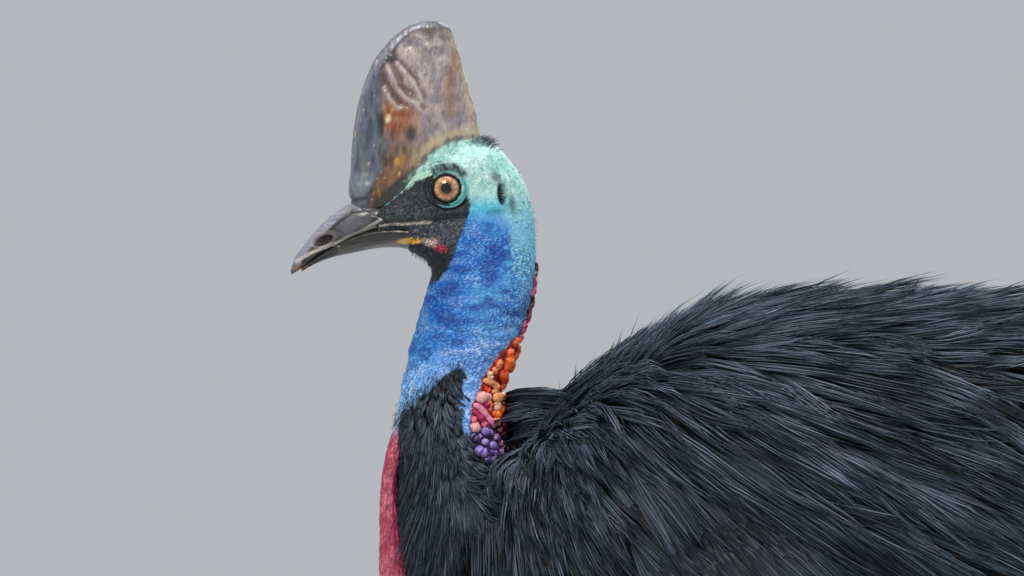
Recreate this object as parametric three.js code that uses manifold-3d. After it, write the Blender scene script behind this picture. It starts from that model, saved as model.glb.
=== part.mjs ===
// A southern cassowary, life size, standing still with its neck drawn up in an S.
// Millimetres, +Z up. The bird faces -X, its left side is at -Y, and its soles lie on z = 0.
// The origin is under the middle of the whole bird's box.

import * as THREE from "three";
import { mergeVertices } from "three/addons/utils/BufferGeometryUtils.js";
import Module from "manifold-3d";

const wasm = await Module();
wasm.setup();

// Driving sizes
const partGap = 0.35; // space left between two sub-parts that touch
const eyeRadius = 16.5; // eyeball
const irisRadius = 12.4; // what the lids leave open
const legSpread = 96; // half the distance between the two feet
const stride = 24; // how far the left foot is ahead of the middle, and the right one behind
const legBack = 42; // how far both legs stand behind the places in the leg tables
const tarsusTop = 318; // height of the hock's underside
const scuteRise = 1.8; // how far the front edge of a plate stands out on the legs and toes
const sides = [
  { name: "left", y: -1 },
  { name: "right", y: 1 },
];

// The head and neck in side view, from the front of the face to the base of the bare neck.
// Each row is one cross-section: its throat point x, z, its crown or nape point x, z, its half width,
// and how far the widest place lies above the middle, as a share.
const headRows = [
  [-492, 1034, -503, 1064, 19, 0.0],
  [-478, 1029, -480, 1081, 25, 0.1],
  [-468, 1026, -456, 1103, 30.5, 0.18],
  [-459, 1022, -432, 1119, 34.5, 0.2],
  [-452, 1018, -408, 1130, 36.5, 0.2],
  [-448, 1014, -388, 1128, 37.5, 0.16],
  [-446, 1010, -371, 1112, 37.5, 0.1],
  [-445, 1006, -356, 1089, 37.5, 0.05],
  [-446, 1000, -348, 1061, 37.5, 0.0],
  [-449, 990, -346, 1027, 38, 0.0],
  [-453, 977, -348, 989, 38.5, 0.0],
  [-462, 947, -359, 947, 39.5, 0.0],
  [-471, 918, -371, 914, 40, 0.0],
  [-476, 900, -378, 896, 41, 0.0],
];
const neckShare = 9.2 / 13; // where the head ends and the neck begins, along those rows

// The rest of the body the same way, from the base of the bare neck to the rump, without the plumage.
const bodyRows = [
  [-476, 900, -378, 896, 41, 0.0],
  [-480, 850, -375, 860, 46, 0.0],
  [-471, 785, -365, 830, 60, 0.0],
  [-454, 725, -338, 854, 86, 0.05],
  [-432, 662, -293, 892, 112, 0.08],
  [-393, 598, -240, 930, 138, 0.08],
  [-328, 538, -180, 962, 158, 0.05],
  [-230, 498, -108, 975, 170, 0.0],
  [-110, 484, -20, 978, 177, -0.03],
  [20, 480, 80, 975, 180, -0.05],
  [150, 486, 185, 966, 176, -0.05],
  [260, 502, 284, 938, 160, -0.03],
  [348, 528, 372, 880, 134, 0.0],
  [416, 564, 436, 796, 98, 0.0],
  [460, 604, 475, 718, 56, 0.0],
  [483, 648, 488, 670, 10, 0.0],
];
const shoulderShare = 2 / 15; // where the lower neck ends and the torso begins, along those rows

// The casque from its sunk base to its top: front edge x, z, back edge x, z, half thickness.
const casqueRows = [
  [-516, 1058, -392, 1112, 18, 0],
  [-522, 1072, -397, 1127, 18.5, 0],
  [-522, 1100, -401.5, 1150, 17, 0],
  [-519, 1142, -407.5, 1176, 14.5, 0],
  [-511.5, 1177, -413, 1194, 12.5, 0],
  [-501, 1204, -417.5, 1211, 10.5, 0],
  [-487, 1223, -421.5, 1226, 8.5, 0],
  [-470, 1237.5, -427, 1237, 6.5, 0],
  [-452, 1244.5, -437, 1243.5, 3.5, 0],
];

// The upper bill from its tip to where the skin takes over: cutting edge x, z, ridge x, z, half width.
const upperBillRows = [
  [-578, 1003.5, -579, 1007, 1.8, -0.1],
  [-570, 1008, -574, 1021, 4.2, -0.25],
  [-558, 1017, -565, 1033, 6.8, -0.3],
  [-544, 1026, -553, 1047.5, 9.5, -0.3],
  [-527, 1036, -538, 1061.5, 12.5, -0.3],
  [-507, 1044, -521, 1071, 16.5, -0.3],
  [-484, 1048.5, -500, 1072, 21.5, -0.3],
  [-456, 1050, -470, 1074, 26, -0.2],
];
// The lower bill the same way: underside x, z, then the edge that meets the upper bill.
const lowerBillRows = [
  [-568, 1006.2, -569, 1008.2, 2.2, 0.1],
  [-556, 1013, -558, 1015.8, 5, 0.3],
  [-540, 1019.5, -543, 1025.4, 8.2, 0.4],
  [-521, 1023.5, -526, 1035, 11.5, 0.4],
  [-499, 1028, -506, 1043, 15.5, 0.4],
  [-478, 1029, -482, 1047.2, 21, 0.3],
  [-462, 1026, -464, 1048.8, 25.5, 0.2],
];
// The edge of the horn of the bill in side view, from the casque's foot down to the jaw.
const hornEdge = [
  [-509, 1072],
  [-466, 1047],
  [-472, 1020],
];
// The mouth line behind the horn, up to the corner of the gape.
const gapeLine = [
  [-474, 1048.6],
  [-448, 1051],
  [-428, 1054],
  [-411, 1057.5],
];
const eyeAt = { x: -430.4, y: 21, z: 1084.6 };
const earAt = { x: -377, y: 33.5, z: 1079, long: 9.5, wide: 4 };
const nostrilAt = { x: -547.5, y: 11, z: 1037.5, long: 8.5, wide: 3.6, slope: 0.5 };

// Reads a row between the rows of a table, at a share of the table from 0 to 1.
function readRow(table, share) {
  const place = THREE.MathUtils.clamp(share, 0, 1) * (table.length - 1);
  const from = Math.min(Math.floor(place), table.length - 2);
  const part = place - from;
  const row = (k) => table[THREE.MathUtils.clamp(k, 0, table.length - 1)];
  return table[0].map((_, column) => {
    const [a, b, c, d] = [-1, 0, 1, 2].map((k) => row(from + k)[column]);
    const pull = 2 * b + (c - a) * part;
    const bend = (2 * a - 5 * b + 4 * c - d) * part ** 2;
    const twist = (3 * b - a - 3 * c + d) * part ** 3;
    return (pull + bend + twist) / 2;
  });
}

// A point of a form given by rows. Angle 0 is the crown or back edge, pi the throat or belly edge,
// and +Y lies between them. A rise moves the point out from the form.
function sectionPoint(table, share, angle, rise = 0) {
  const [lowX, lowZ, highX, highZ, half, lift] = readRow(table, share);
  const reach = Math.hypot(highX - lowX, highZ - lowZ) / 2;
  const across = Math.cos(angle) + lift * Math.sin(angle) ** 2;
  const swing = (across * (reach + rise)) / reach / 2;
  return new THREE.Vector3(
    (lowX + highX) / 2 + (highX - lowX) * swing,
    (half + rise) * Math.sin(angle),
    (lowZ + highZ) / 2 + (highZ - lowZ) * swing,
  );
}

function ringOf(count, place) {
  return Array.from({ length: count }, (_, k) => place((k / count) * 2 * Math.PI));
}

function middleOf(points) {
  const sum = new THREE.Vector3();
  points.forEach((p) => sum.add(p));
  return sum.divideScalar(points.length);
}

// A closed skin over a run of rings that all have the same number of points.
function skinOver(rings) {
  const count = rings[0].length;
  const corners = [...rings.flat(), middleOf(rings[0]), middleOf(rings.at(-1))];
  const faces = [];
  for (let i = 0; i < rings.length - 1; i++)
    for (let k = 0; k < count; k++) {
      const next = (k + 1) % count;
      const [a, b, c, d] = [i * count + k, i * count + next, (i + 1) * count + next, (i + 1) * count + k];
      faces.push([a, b, c], [a, c, d]);
    }
  const lastRing = (rings.length - 1) * count;
  for (let k = 0; k < count; k++) {
    const next = (k + 1) % count;
    faces.push([next, k, corners.length - 2], [lastRing + k, lastRing + next, corners.length - 1]);
  }
  return closedGeometry(corners, faces);
}

function closedGeometry(corners, faces) {
  const volume = faces.reduce((sum, [a, b, c]) => {
    const normal = new THREE.Vector3().crossVectors(corners[b], corners[c]);
    return sum + corners[a].dot(normal);
  }, 0);
  const outward = volume < 0 ? faces.map(([a, b, c]) => [a, c, b]) : faces;
  const geometry = new THREE.BufferGeometry().setFromPoints(corners);
  return geometry.setIndex(outward.flat());
}

// Joins and cuts
function solidOf(geometry) {
  const bare = geometry.clone();
  bare.deleteAttribute("normal");
  bare.deleteAttribute("uv");
  const merged = mergeVertices(bare, 1e-4);
  return new wasm.Manifold(
    new wasm.Mesh({
      numProp: 3,
      vertProperties: new Float32Array(merged.attributes.position.array),
      triVerts: new Uint32Array(merged.index.array),
    }),
  );
}

function join(solids) {
  return solids.reduce((all, one) => all.add(one));
}

function cut(solid, ...cutters) {
  return cutters.reduce((rest, one) => rest.subtract(one), solid);
}

// The largest closed surface of a solid, which drops loose scraps and fills sealed hollows.
function mainBody(solid) {
  const bodies = solid.decompose();
  return bodies.reduce((best, one) => (one.volume() > best.volume() ? one : best));
}

function geometryOf(solid) {
  const mesh = mainBody(solid).getMesh();
  const geometry = new THREE.BufferGeometry();
  geometry.setAttribute("position", new THREE.BufferAttribute(mesh.vertProperties, 3));
  geometry.setIndex(new THREE.BufferAttribute(mesh.triVerts, 1));
  const faceted = geometry.toNonIndexed();
  faceted.computeVertexNormals();
  return faceted;
}

// Forms given by rows
function formSolid(table, { from = 0, to = 1, steps, around, rise = 0 }) {
  const rises = typeof rise === "function" ? rise : () => rise;
  const rings = Array.from({ length: steps + 1 }, (_, i) => {
    const share = from + ((to - from) * i) / steps;
    return ringOf(around, (angle) => sectionPoint(table, share, angle, rises(share)));
  });
  return solidOf(skinOver(rings));
}

// A round or oval bar through a list of stops, each with its place and half sizes along and across it.
function barRings(stops, around, grow = 0) {
  return stops.map((stop, i) => {
    const before = stops[Math.max(i - 1, 0)].at;
    const after = stops[Math.min(i + 1, stops.length - 1)].at;
    const ahead = new THREE.Vector3().subVectors(after, before).normalize();
    const side = new THREE.Vector3(0, 1, 0).cross(ahead).normalize();
    const across = new THREE.Vector3().crossVectors(ahead, side);
    const end = i === 0 ? -1 : i === stops.length - 1 ? 1 : 0;
    const centre = stop.at.clone().addScaledVector(ahead, end * grow);
    return ringOf(around, (angle) =>
      centre
        .clone()
        .addScaledVector(side, Math.cos(angle) * (stop.deep + grow))
        .addScaledVector(across, Math.sin(angle) * (stop.wide + grow)),
    );
  });
}

function barSolid(stops, around, grow = 0) {
  return solidOf(skinOver(barRings(stops, around, grow)));
}

function stop(x, y, z, deep, wide = deep) {
  return { at: new THREE.Vector3(x, y, z), deep, wide };
}

function ellipsoid(x, y, z, rx, ry, rz, slope = 0, fine = 12) {
  const geometry = new THREE.SphereGeometry(1, fine, Math.round(fine * 0.6));
  geometry.scale(rx, ry, rz).rotateY(slope).translate(x, y, z);
  return solidOf(geometry);
}

// A plate that spans the whole bird from side to side, outlined in side view.
function sidePlate(outline, halfWidth = 400) {
  const shape = new THREE.Shape(outline.map(([x, z]) => new THREE.Vector2(x, z)));
  const geometry = new THREE.ExtrudeGeometry(shape, { depth: 2 * halfWidth, bevelEnabled: false });
  return solidOf(geometry.rotateX(Math.PI / 2).translate(0, halfWidth, 0));
}

// The side of the horn edge that belongs to the bill, moved forward by a gap.
function billSide(gap) {
  const [foot, notch, jaw] = hornEdge.map(([x, z]) => [x - gap, z]);
  return sidePlate([
    [foot[0] - 25, foot[1] + 15],
    foot,
    notch,
    jaw,
    [jaw[0], 900],
    [-700, 900],
    [-700, foot[1] + 15],
  ]);
}

// Everything between two heights, across the whole bird.
function level(low, high) {
  const height = high - low;
  return solidOf(new THREE.BoxGeometry(3000, 3000, height).translate(0, 0, low + height / 2));
}

function ground() {
  return level(-200, 0);
}

// Plumage: locks of long feathers, each a flat tapered strip that is sunk at its root, follows the lie
// of the coat and lifts towards its tip, over the roots of the next row.
const coats = {
  body: { length: 246, width: 90, thick: 6, sunk: 14, lift: 30, bend: 260, sway: 0.03 },
  ruff: {
    length: 84, width: 54, thick: 6, sunk: 12, lift: 38, bend: 70, sway: 0.03,
    rises: [0, 0.5, 0.9, 1, 0.95],
  },
  neck: { length: 118, width: 40, thick: 5, sunk: 8, lift: 19, bend: 100, sway: 0.03 },
  thigh: { length: 120, width: 47, thick: 6, sunk: 9, lift: 16, bend: 80, sway: 0.03 },
  wing: { length: 112, width: 34, thick: 5, sunk: 5, lift: 9, bend: 120, sway: 0.04 },
};
// The shape of a lock along its length: share of the length, of the width, of the thickness and of the lift.
// A coat with rises of its own lifts sooner.
const lockProfile = [
  [0, 0.6, 1, 0],
  [0.2, 0.95, 1, 0.16],
  [0.5, 1, 0.9, 0.5],
  [0.78, 0.66, 0.6, 0.8],
  [1, 0, 0, 1],
];
// How steeply the feathers lie below the horizontal, in degrees, along the flanks and along the back.
const flankSlopes = [
  [-430, 80],
  [-350, 64],
  [-285, 48],
  [-150, 34],
  [50, 27],
  [250, 36],
  [400, 62],
  [480, 78],
];
const backSlopes = [
  [-350, 8],
  [100, 2],
  [300, 20],
  [420, 60],
  [480, 78],
];
const seamShare = 0.001; // how far a form keeps from a seam, as a share of its rows
const seamGrow = 0.0035; // how far a grown form passes that seam, as a share for each millimetre
const combSteps = 20; // steps in which a lock's way over the body is worked out
const rumpShare = 0.86; // past here the locks leave the body and hang
const rumpHang = 0.2; // how much they bend down at each step from there

function seededDraw(seed) {
  let state = seed;
  return () => {
    state = (state + 0x6d2b79f5) | 0;
    let mix = Math.imul(state ^ (state >>> 15), 1 | state);
    mix = (mix + Math.imul(mix ^ (mix >>> 7), 61 | mix)) ^ mix;
    return ((mix ^ (mix >>> 14)) >>> 0) / 4294967296;
  };
}

function slopeAt(slopes, x) {
  const k = slopes.findIndex(([edge]) => edge > x);
  if (k === 0) return slopes[0][1];
  if (k < 0) return slopes.at(-1)[1];
  const [[fromX, from], [toX, to]] = [slopes[k - 1], slopes[k]];
  return THREE.MathUtils.lerp(from, to, (x - fromX) / (toX - fromX));
}

// The angle round the body measured from the back, from 0 to pi on either side.
function fromBack(angle) {
  return Math.abs(THREE.MathUtils.euclideanModulo(angle + Math.PI, 2 * Math.PI) - Math.PI);
}

// The way the feathers point: along the back, slanting down the flank and chest, and level under the belly.
function bodyLie(at, angle) {
  const round = fromBack(angle);
  const onFlank = THREE.MathUtils.smoothstep(round, 0.1, 1.0);
  const under = THREE.MathUtils.smoothstep(round, 1.9, 2.6) * THREE.MathUtils.smoothstep(at.x, -320, -150);
  const side = THREE.MathUtils.lerp(slopeAt(backSlopes, at.x), slopeAt(flankSlopes, at.x), onFlank);
  const slope = THREE.MathUtils.degToRad(THREE.MathUtils.lerp(side, 4, under));
  return new THREE.Vector3(Math.cos(slope), 0, -Math.sin(slope));
}

// On the neck they turn from straight down at the throat towards the back, most of all under the caruncles.
const neckFan = { front: -475, wide: 123.5, least: -15, most: 40, high: 1.15, low: 0.7, from: 789, to: 732 };

function neckLie(at) {
  const across = THREE.MathUtils.clamp((at.x - neckFan.front) / neckFan.wide, 0, 1);
  const lower = THREE.MathUtils.smoothstep(neckFan.from - at.z, 0, neckFan.from - neckFan.to);
  const strength = THREE.MathUtils.lerp(neckFan.high, neckFan.low, lower);
  const turn = THREE.MathUtils.degToRad(neckFan.least + neckFan.most * across ** 1.25 * strength);
  return new THREE.Vector3(Math.sin(turn), 0, -Math.cos(turn));
}

// One place on the core, with the way out, the way its feathers lie, and how fast the share and the angle
// change along that lie.
function placeOnCore(share, angle, lie) {
  const tiny = 1e-3;
  const at = sectionPoint(bodyRows, share, angle);
  const alongBody = sectionPoint(bodyRows, share + tiny, angle).sub(at).divideScalar(tiny);
  const roundBody = sectionPoint(bodyRows, share, angle + tiny).sub(at).divideScalar(tiny);
  const up = new THREE.Vector3().crossVectors(alongBody, roundBody).normalize();
  const inner = sectionPoint(bodyRows, share, 0).add(sectionPoint(bodyRows, share, Math.PI)).divideScalar(2);
  if (up.dot(inner.sub(at)) > 0) up.negate();
  const ahead = lie(at, angle);
  ahead.addScaledVector(up, -ahead.dot(up)).normalize();
  const [a, b, c] = [alongBody.lengthSq(), alongBody.dot(roundBody), roundBody.lengthSq()];
  const [p, q] = [ahead.dot(alongBody), ahead.dot(roundBody)];
  const spread = a * c - b * b;
  return { at, up, ahead, shareRate: (p * c - q * b) / spread, angleRate: (q * a - p * b) / spread };
}

// The next place of a lock that has left the body and bends down under its own weight.
function hangFrom(last, stride) {
  const ahead = last.ahead.clone().add(new THREE.Vector3(0, 0, -rumpHang)).normalize();
  const at = last.at.clone().addScaledVector(ahead, stride);
  const up = last.up.clone().addScaledVector(ahead, -last.up.dot(ahead)).normalize();
  return { at, up, ahead };
}

// A lock's way over the body from its root.
function combAlong(share, angle, length, lie) {
  const stride = length / combSteps;
  const way = [];
  for (let i = 0; i <= combSteps; i++) {
    if (i > 0 && share >= rumpShare) {
      way.push(hangFrom(way.at(-1), stride));
    } else {
      const place = placeOnCore(share, angle, lie);
      share += stride * place.shareRate;
      angle += stride * place.angleRate;
      way.push(place);
    }
  }
  return way;
}

const edgeGrow = 9; // how many times as far as its faces a grown lock's thin edges and tip move

// One lock along its way. Its section is a low ridge with two edges that bend down round the body.
function lockSolid(way, coat, { sway = 0, lift = 1, grow = 0 } = {}) {
  const steps = way.length - 1;
  const ribs = lockProfile.map(([f, wide, thick, rise], k) => {
    const { at, up, ahead } = way[Math.round(f * steps)];
    const side = new THREE.Vector3().crossVectors(ahead, up).normalize();
    const height = f === 0 ? -coat.sunk : coat.lift * lift * (coat.rises ? coat.rises[k] : rise);
    const middle = at.clone().addScaledVector(up, height).addScaledVector(side, sway * f * f);
    return { middle, up, side, width: coat.width * wide, depth: coat.thick * thick };
  });
  const tip = ribs.pop().middle;
  const root = ribs[0].middle;
  tip.addScaledVector(tip.clone().sub(ribs.at(-1).middle).normalize(), edgeGrow * grow);
  root.addScaledVector(root.clone().sub(ribs[1].middle).normalize(), grow);
  const rings = ribs.map(({ middle, up, side, width, depth }) => {
    const drop = width ** 2 / (8 * coat.bend) + depth / 2 + grow;
    const out = width / 2 + edgeGrow * grow;
    const edge = (hand) => middle.clone().addScaledVector(side, hand * out).addScaledVector(up, -drop);
    return [edge(-1), middle.clone().addScaledVector(up, depth / 2 + 1.1 * grow), edge(1)];
  });
  return solidOf(taperedSkin([...rings, [tip]]));
}

// A closed skin over rings of three points that end in one point.
function taperedSkin(rings) {
  const corners = rings.flat();
  const tip = corners.length - 1;
  const last = tip - 3;
  const faces = [[2, 1, 0]];
  for (let i = 0; i < rings.length - 2; i++)
    for (let k = 0; k < 3; k++) {
      const next = (k + 1) % 3;
      faces.push([3 * i + k, 3 * i + next, 3 * i + 3 + next], [3 * i + k, 3 * i + 3 + next, 3 * i + 3 + k]);
    }
  for (let k = 0; k < 3; k++) faces.push([last + k, last + ((k + 1) % 3), tip]);
  return closedGeometry(corners, faces);
}

// Roots spread evenly over the body: a fine grid is swept from chest to rump, and a place is kept where no
// kept root is nearer than the pitch along the lie and the spacing across it.
const rootGrid = { from: 0.145, to: 0.945, rows: 90, around: 72, pitch: 144, spacing: 98 };
const vent = { share: 0.78, angle: 1.9 }; // behind and below here the rump's feathers hang over bare skin

const rumpRoots = [0, 0.62, -0.62, 1.25, -1.25]; // angles of the locks that hang over the tail's place

function bodyRoots() {
  const places = [];
  for (let i = 0; i <= rootGrid.rows; i++)
    for (let k = 0; k < rootGrid.around; k++) {
      const share = THREE.MathUtils.lerp(rootGrid.from, rootGrid.to, i / rootGrid.rows);
      const angle = ((k + (i % 2) / 2) / rootGrid.around) * 2 * Math.PI;
      if (share > vent.share && fromBack(angle) > vent.angle) continue;
      const { at, ahead, up } = placeOnCore(share, angle, bodyLie);
      places.push({ share, angle, at, ahead, side: new THREE.Vector3().crossVectors(ahead, up) });
    }
  places.sort((one, other) => one.at.x - other.at.x);
  const kept = rumpRoots.map((angle) => {
    const { at } = placeOnCore(rumpShare, angle, bodyLie);
    return { share: rumpShare, angle, at };
  });
  for (const place of places) {
    const free = kept.every(({ at }) => {
      const apart = place.at.clone().sub(at);
      const along = apart.dot(place.ahead) / rootGrid.pitch;
      const across = apart.dot(place.side) / rootGrid.spacing;
      const out = apart.lengthSq() - apart.dot(place.ahead) ** 2 - apart.dot(place.side) ** 2;
      return along ** 2 + across ** 2 + out / rootGrid.spacing ** 2 > 1;
    });
    if (free) kept.push(place);
  }
  return kept;
}

// Head
function headCore(grow = 0) {
  return formSolid(headRows, { from: 0, to: neckShare, steps: 14, around: 20, rise: grow });
}

function lidRing(side) {
  const profile = [
    [irisRadius - 0.6, 2.2],
    [irisRadius - 0.6, -9],
    [irisRadius + 6, -9],
    [irisRadius + 4.2, 2.4],
    [irisRadius + 1.2, 4.4],
    [irisRadius - 0.6, 2.2],
  ].map(([r, out]) => new THREE.Vector2(r, out));
  const ring = new THREE.LatheGeometry(profile, 14);
  if (side.y < 0) ring.rotateX(Math.PI);
  const bulge = Math.sqrt(eyeRadius ** 2 - irisRadius ** 2);
  ring.translate(eyeAt.x, side.y * (eyeAt.y + bulge - 1), eyeAt.z);
  return solidOf(ring);
}

function eyeBall(side, radius) {
  return ellipsoid(eyeAt.x, side.y * eyeAt.y, eyeAt.z, radius, radius, radius, 0, 12);
}

function headSolid() {
  const lids = sides.map(lidRing);
  const earRims = sides.map((side) =>
    ellipsoid(earAt.x, side.y * earAt.y, earAt.z, earAt.wide + 3, 5, earAt.long + 3.5, -0.15, 9),
  );
  const earHoles = sides.map((side) =>
    ellipsoid(earAt.x, side.y * (earAt.y + 5), earAt.z, earAt.wide, 8, earAt.long, -0.15, 9),
  );
  const eyeSockets = sides.map((side) => eyeBall(side, eyeRadius + partGap));
  const lipGap = 0.6;
  const mouth = sidePlate([
    ...gapeLine.map(([x, z]) => [x, z - lipGap]),
    ...gapeLine.map(([x, z]) => [x, z + lipGap]).reverse(),
  ]);
  const mouthDepth = sidePlate(
    [
      [-500, 1030],
      [-400, 1030],
      [-400, 1075],
      [-500, 1075],
    ],
    20,
  );
  const whole = join([headCore(), ...lids, ...earRims]);
  return cut(whole, billSide(0), cut(mouth, mouthDepth), ...earHoles, ...eyeSockets);
}

function casqueSolid() {
  const horn = formSolid(casqueRows, { steps: 9, around: 12 });
  const knob = ellipsoid(-514, 0, 1076, 8.5, 13, 8, 0.4, 9);
  return cut(join([horn, knob]), headCore(partGap), upperBillForm(partGap));
}

// Bill
function upperBillForm(grow = 0) {
  return formSolid(upperBillRows, { steps: 9, around: 12, rise: grow });
}

function upperBillSolid() {
  const { x, y, z, long, wide, slope } = nostrilAt;
  const nostrils = sides.map((side) => ellipsoid(x, side.y * y, z, long, 4.5, wide, slope, 10));
  return cut(upperBillForm().intersect(billSide(partGap)), ...nostrils);
}

function lowerBillSolid() {
  const jaw = formSolid(lowerBillRows, { steps: 8, around: 10 });
  return cut(jaw.intersect(billSide(partGap)), upperBillForm(partGap));
}

// Neck
// Caruncles: soft bulbs on the sides of the nape, in two uneven lines that run down to the mantle.
// Each is a place on the near side: x, z, half length, half width and turn in side view.
const bulbs = [
  [-365, 932, 12, 5, -1.34],
  [-374, 923, 12, 5, -1.35],
  [-382, 909, 10, 5.5, 1.3],
  [-390, 900, 9, 5.5, 1.0],
  [-380, 893, 7, 5, 0.4],
  [-394, 883, 9.5, 6, 1.05],
  [-382, 879, 7.5, 5.5, 0.5],
  [-395, 868, 13.5, 5, 0.8],
  [-383, 864, 7, 5, 0.6],
  [-402, 853, 7, 5, 0.2],
  [-390, 850, 8, 5, 0.3],
  [-399, 840, 8, 5, 0.6],
  [-386, 837, 8, 5, 0.3],
  [-380, 825, 8, 5.5, 0.7],
];
const bulbLift = 5.5; // how far a bulb stands out of the skin

function caruncles(table, low, high, grow = 0) {
  const slab = level(low - grow, high + grow);
  return bulbs
    .filter(([, z, long]) => z + long > low && z - long < high)
    .flatMap(([x, z, long, wide, turn]) =>
      sides.map((side) => {
        const { at, up } = placeOnSide(table, x, z);
        const mirror = new THREE.Vector3(1, side.y, 1);
        const outward = new THREE.Vector3(0, side.y, 0);
        const tilt = new THREE.Quaternion().setFromUnitVectors(outward, up.multiply(mirror));
        const geometry = new THREE.SphereGeometry(1, 6, 3).scale(long + grow, bulbLift + grow, wide + grow);
        geometry.rotateY(turn).applyQuaternion(tilt).translate(...at.multiply(mirror).toArray());
        return solidOf(geometry).intersect(slab);
      }),
    );
}

// The place on the right side of a form that lies at x, z in side view, with its way out.
function placeOnSide(table, x, z) {
  const fine = 120;
  const tiny = 1e-3;
  let best = { off: Infinity };
  for (let i = 0; i <= fine; i++)
    for (let k = 1; k < fine; k++) {
      const [share, angle] = [i / fine, (k / fine) * Math.PI];
      const at = sectionPoint(table, share, angle);
      const off = Math.hypot(at.x - x, at.z - z);
      if (off < best.off) best = { off, share, angle, at };
    }
  const { share, angle, at } = best;
  const back = share > 0.5 ? -tiny : tiny;
  const along = sectionPoint(table, share + back, angle).sub(at);
  const round = sectionPoint(table, share, angle + tiny).sub(at);
  const up = new THREE.Vector3().crossVectors(along, round).normalize();
  return { at, up: up.y < 0 ? up.negate() : up };
}

const splitHeight = { upper: 900.5, lower: 895.5 }; // where the caruncles are parted with the neck

function neckUpperSolid(grow = 0) {
  const to = 1 - 2 * seamShare + grow * seamGrow;
  const skin = formSolid(headRows, { from: neckShare + 2 * seamShare, to, steps: 6, around: 20, rise: grow });
  return join([skin, ...caruncles(headRows, splitHeight.upper, 1000, grow)]);
}

// The lower neck is bare in front and behind. Its feathers start in a peak on either side.
const neckRows = [
  { share: 0.014, angles: [1.62] },
  { share: 0.056, angles: [1.45, 2.15] },
  { share: 0.108, angles: [1.1, 1.75, 2.5] },
];

function neckLowerSolid(grow = 0) {
  const draw = seededDraw(11);
  const to = shoulderShare - seamShare;
  const core = formSolid(bodyRows, { from: 0.002, to, steps: 5, around: 24, rise: grow });
  const locks = neckRows.flatMap(({ share, angles }) =>
    angles.flatMap((angle) =>
      sides.map((side) => {
        const length = coats.neck.length * (0.9 + 0.25 * draw());
        const front = THREE.MathUtils.smoothstep(angle, 2.1, 2.9);
        const lift = (0.8 + 0.3 * draw()) * (1 - 0.4 * front) * (0.6 + share * 4);
        const sway = (draw() - 0.5) * coats.neck.sway * length;
        const way = combAlong(share, side.y * angle, length, neckLie);
        return lockSolid(way, coats.neck, { sway, lift, grow });
      }),
    ),
  );
  return join([core, ...locks, ...caruncles(bodyRows, 700, splitHeight.lower, grow)]);
}

// Wattles: two soft lobes that hang from the front of the neck, thin at the root and full below. Each row is
// a place along and across the bird, a height, and the half sizes along and across.
const wattleRows = [
  [-468, 9, 866, 6, 5],
  [-479, 12, 846, 6, 6.5],
  [-485, 15, 815, 7, 8.5],
  [-486.5, 17, 785, 8, 9.5],
  [-485, 18, 755, 10, 10.5],
  [-482, 19, 722, 13, 11.5],
  [-480, 19, 692, 13.5, 11],
  [-479.5, 19, 675, 9, 8],
  [-479.5, 19, 667, 3, 3],
];

function wattleSolid(side) {
  const lobe = wattleRows.map(([x, y, z, deep, wide]) => stop(x, side.y * y, z, deep, wide));
  return cut(barSolid(lobe, 12), neckUpperSolid(partGap), neckLowerSolid(partGap), torsoSolid(partGap));
}

// Torso
function torsoSolid(grow = 0) {
  const draw = seededDraw(5);
  const from = shoulderShare + seamShare - grow * seamGrow;
  const core = formSolid(bodyRows, { from, to: 1, steps: 19, around: 22, rise: grow });
  const locks = bodyRoots().flatMap(({ share, angle, at }) => {
    const rump = THREE.MathUtils.smoothstep(share, 0.68, 0.9);
    const length = coats.body.length * (0.9 + 0.24 * draw()) * (1 + 0.25 * rump);
    const lift = (0.85 + 0.3 * draw()) * (pressedByWattles(at) ? 0.45 : 1);
    const sway = (draw() - 0.5) * coats.body.sway * length;
    const whole = combAlong(share, angle, length, bodyLie);
    const stopped = whole.findIndex(({ at }) => inThigh(at) || underWing(at));
    if (stopped >= 0 && stopped < combSteps * 0.4) return [];
    const free = stopped < 0 ? length : (length * (stopped - 1)) / combSteps;
    const way = combAlong(share, angle, free, bodyLie);
    return [lockSolid(way, coats.body, { sway, lift, grow })];
  });
  const ruff = ruffRoots.map(({ share, angle }) => {
    const length = coats.ruff.length * (0.9 + 0.2 * draw());
    return lockSolid(combAlong(share, angle, length, bodyLie), coats.ruff, { grow });
  });
  return join([core, ...locks, ...ruff]);
}

// At the front of the back short feathers stand up behind the neck.
const ruffRoots = [
  { share: 0.139, angle: 0 },
  { share: 0.141, angle: 0.55 },
  { share: 0.141, angle: -0.55 },
  { share: 0.145, angle: 1.1 },
  { share: 0.145, angle: -1.1 },
];

// Where the wattles hang against the chest.
function pressedByWattles(at) {
  return at.x < -370 && Math.abs(at.y) < 60;
}

// Wings: a stub on the flank under its own coverts, with bare quills that hang down and back.
const wingAt = { x: -150, y: 196, z: 712, long: 52, deep: 20, high: 34, slope: 0.5 };
const quills = {
  count: 5, length: 300, radius: 3, // the middle quill's length
  root: [-140, 205, 700], apart: [9, 3], // the first root, and how far along and up the next one is
  back: 0.62, down: 0.72, // how a quill runs from its root
  shorter: 22, fan: [10, 13], // what each quill away from the middle lacks and is turned by, at its tip
  curl: 40, bow: 26, // how much its end turns up, and how far its middle stands off the flank
};

function underWing(at) {
  const along = (at.x - wingAt.x) / (wingAt.long + 30);
  return Math.abs(at.y) > 100 && along ** 2 + ((at.z - wingAt.z) / (wingAt.high + 24)) ** 2 < 1;
}

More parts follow.
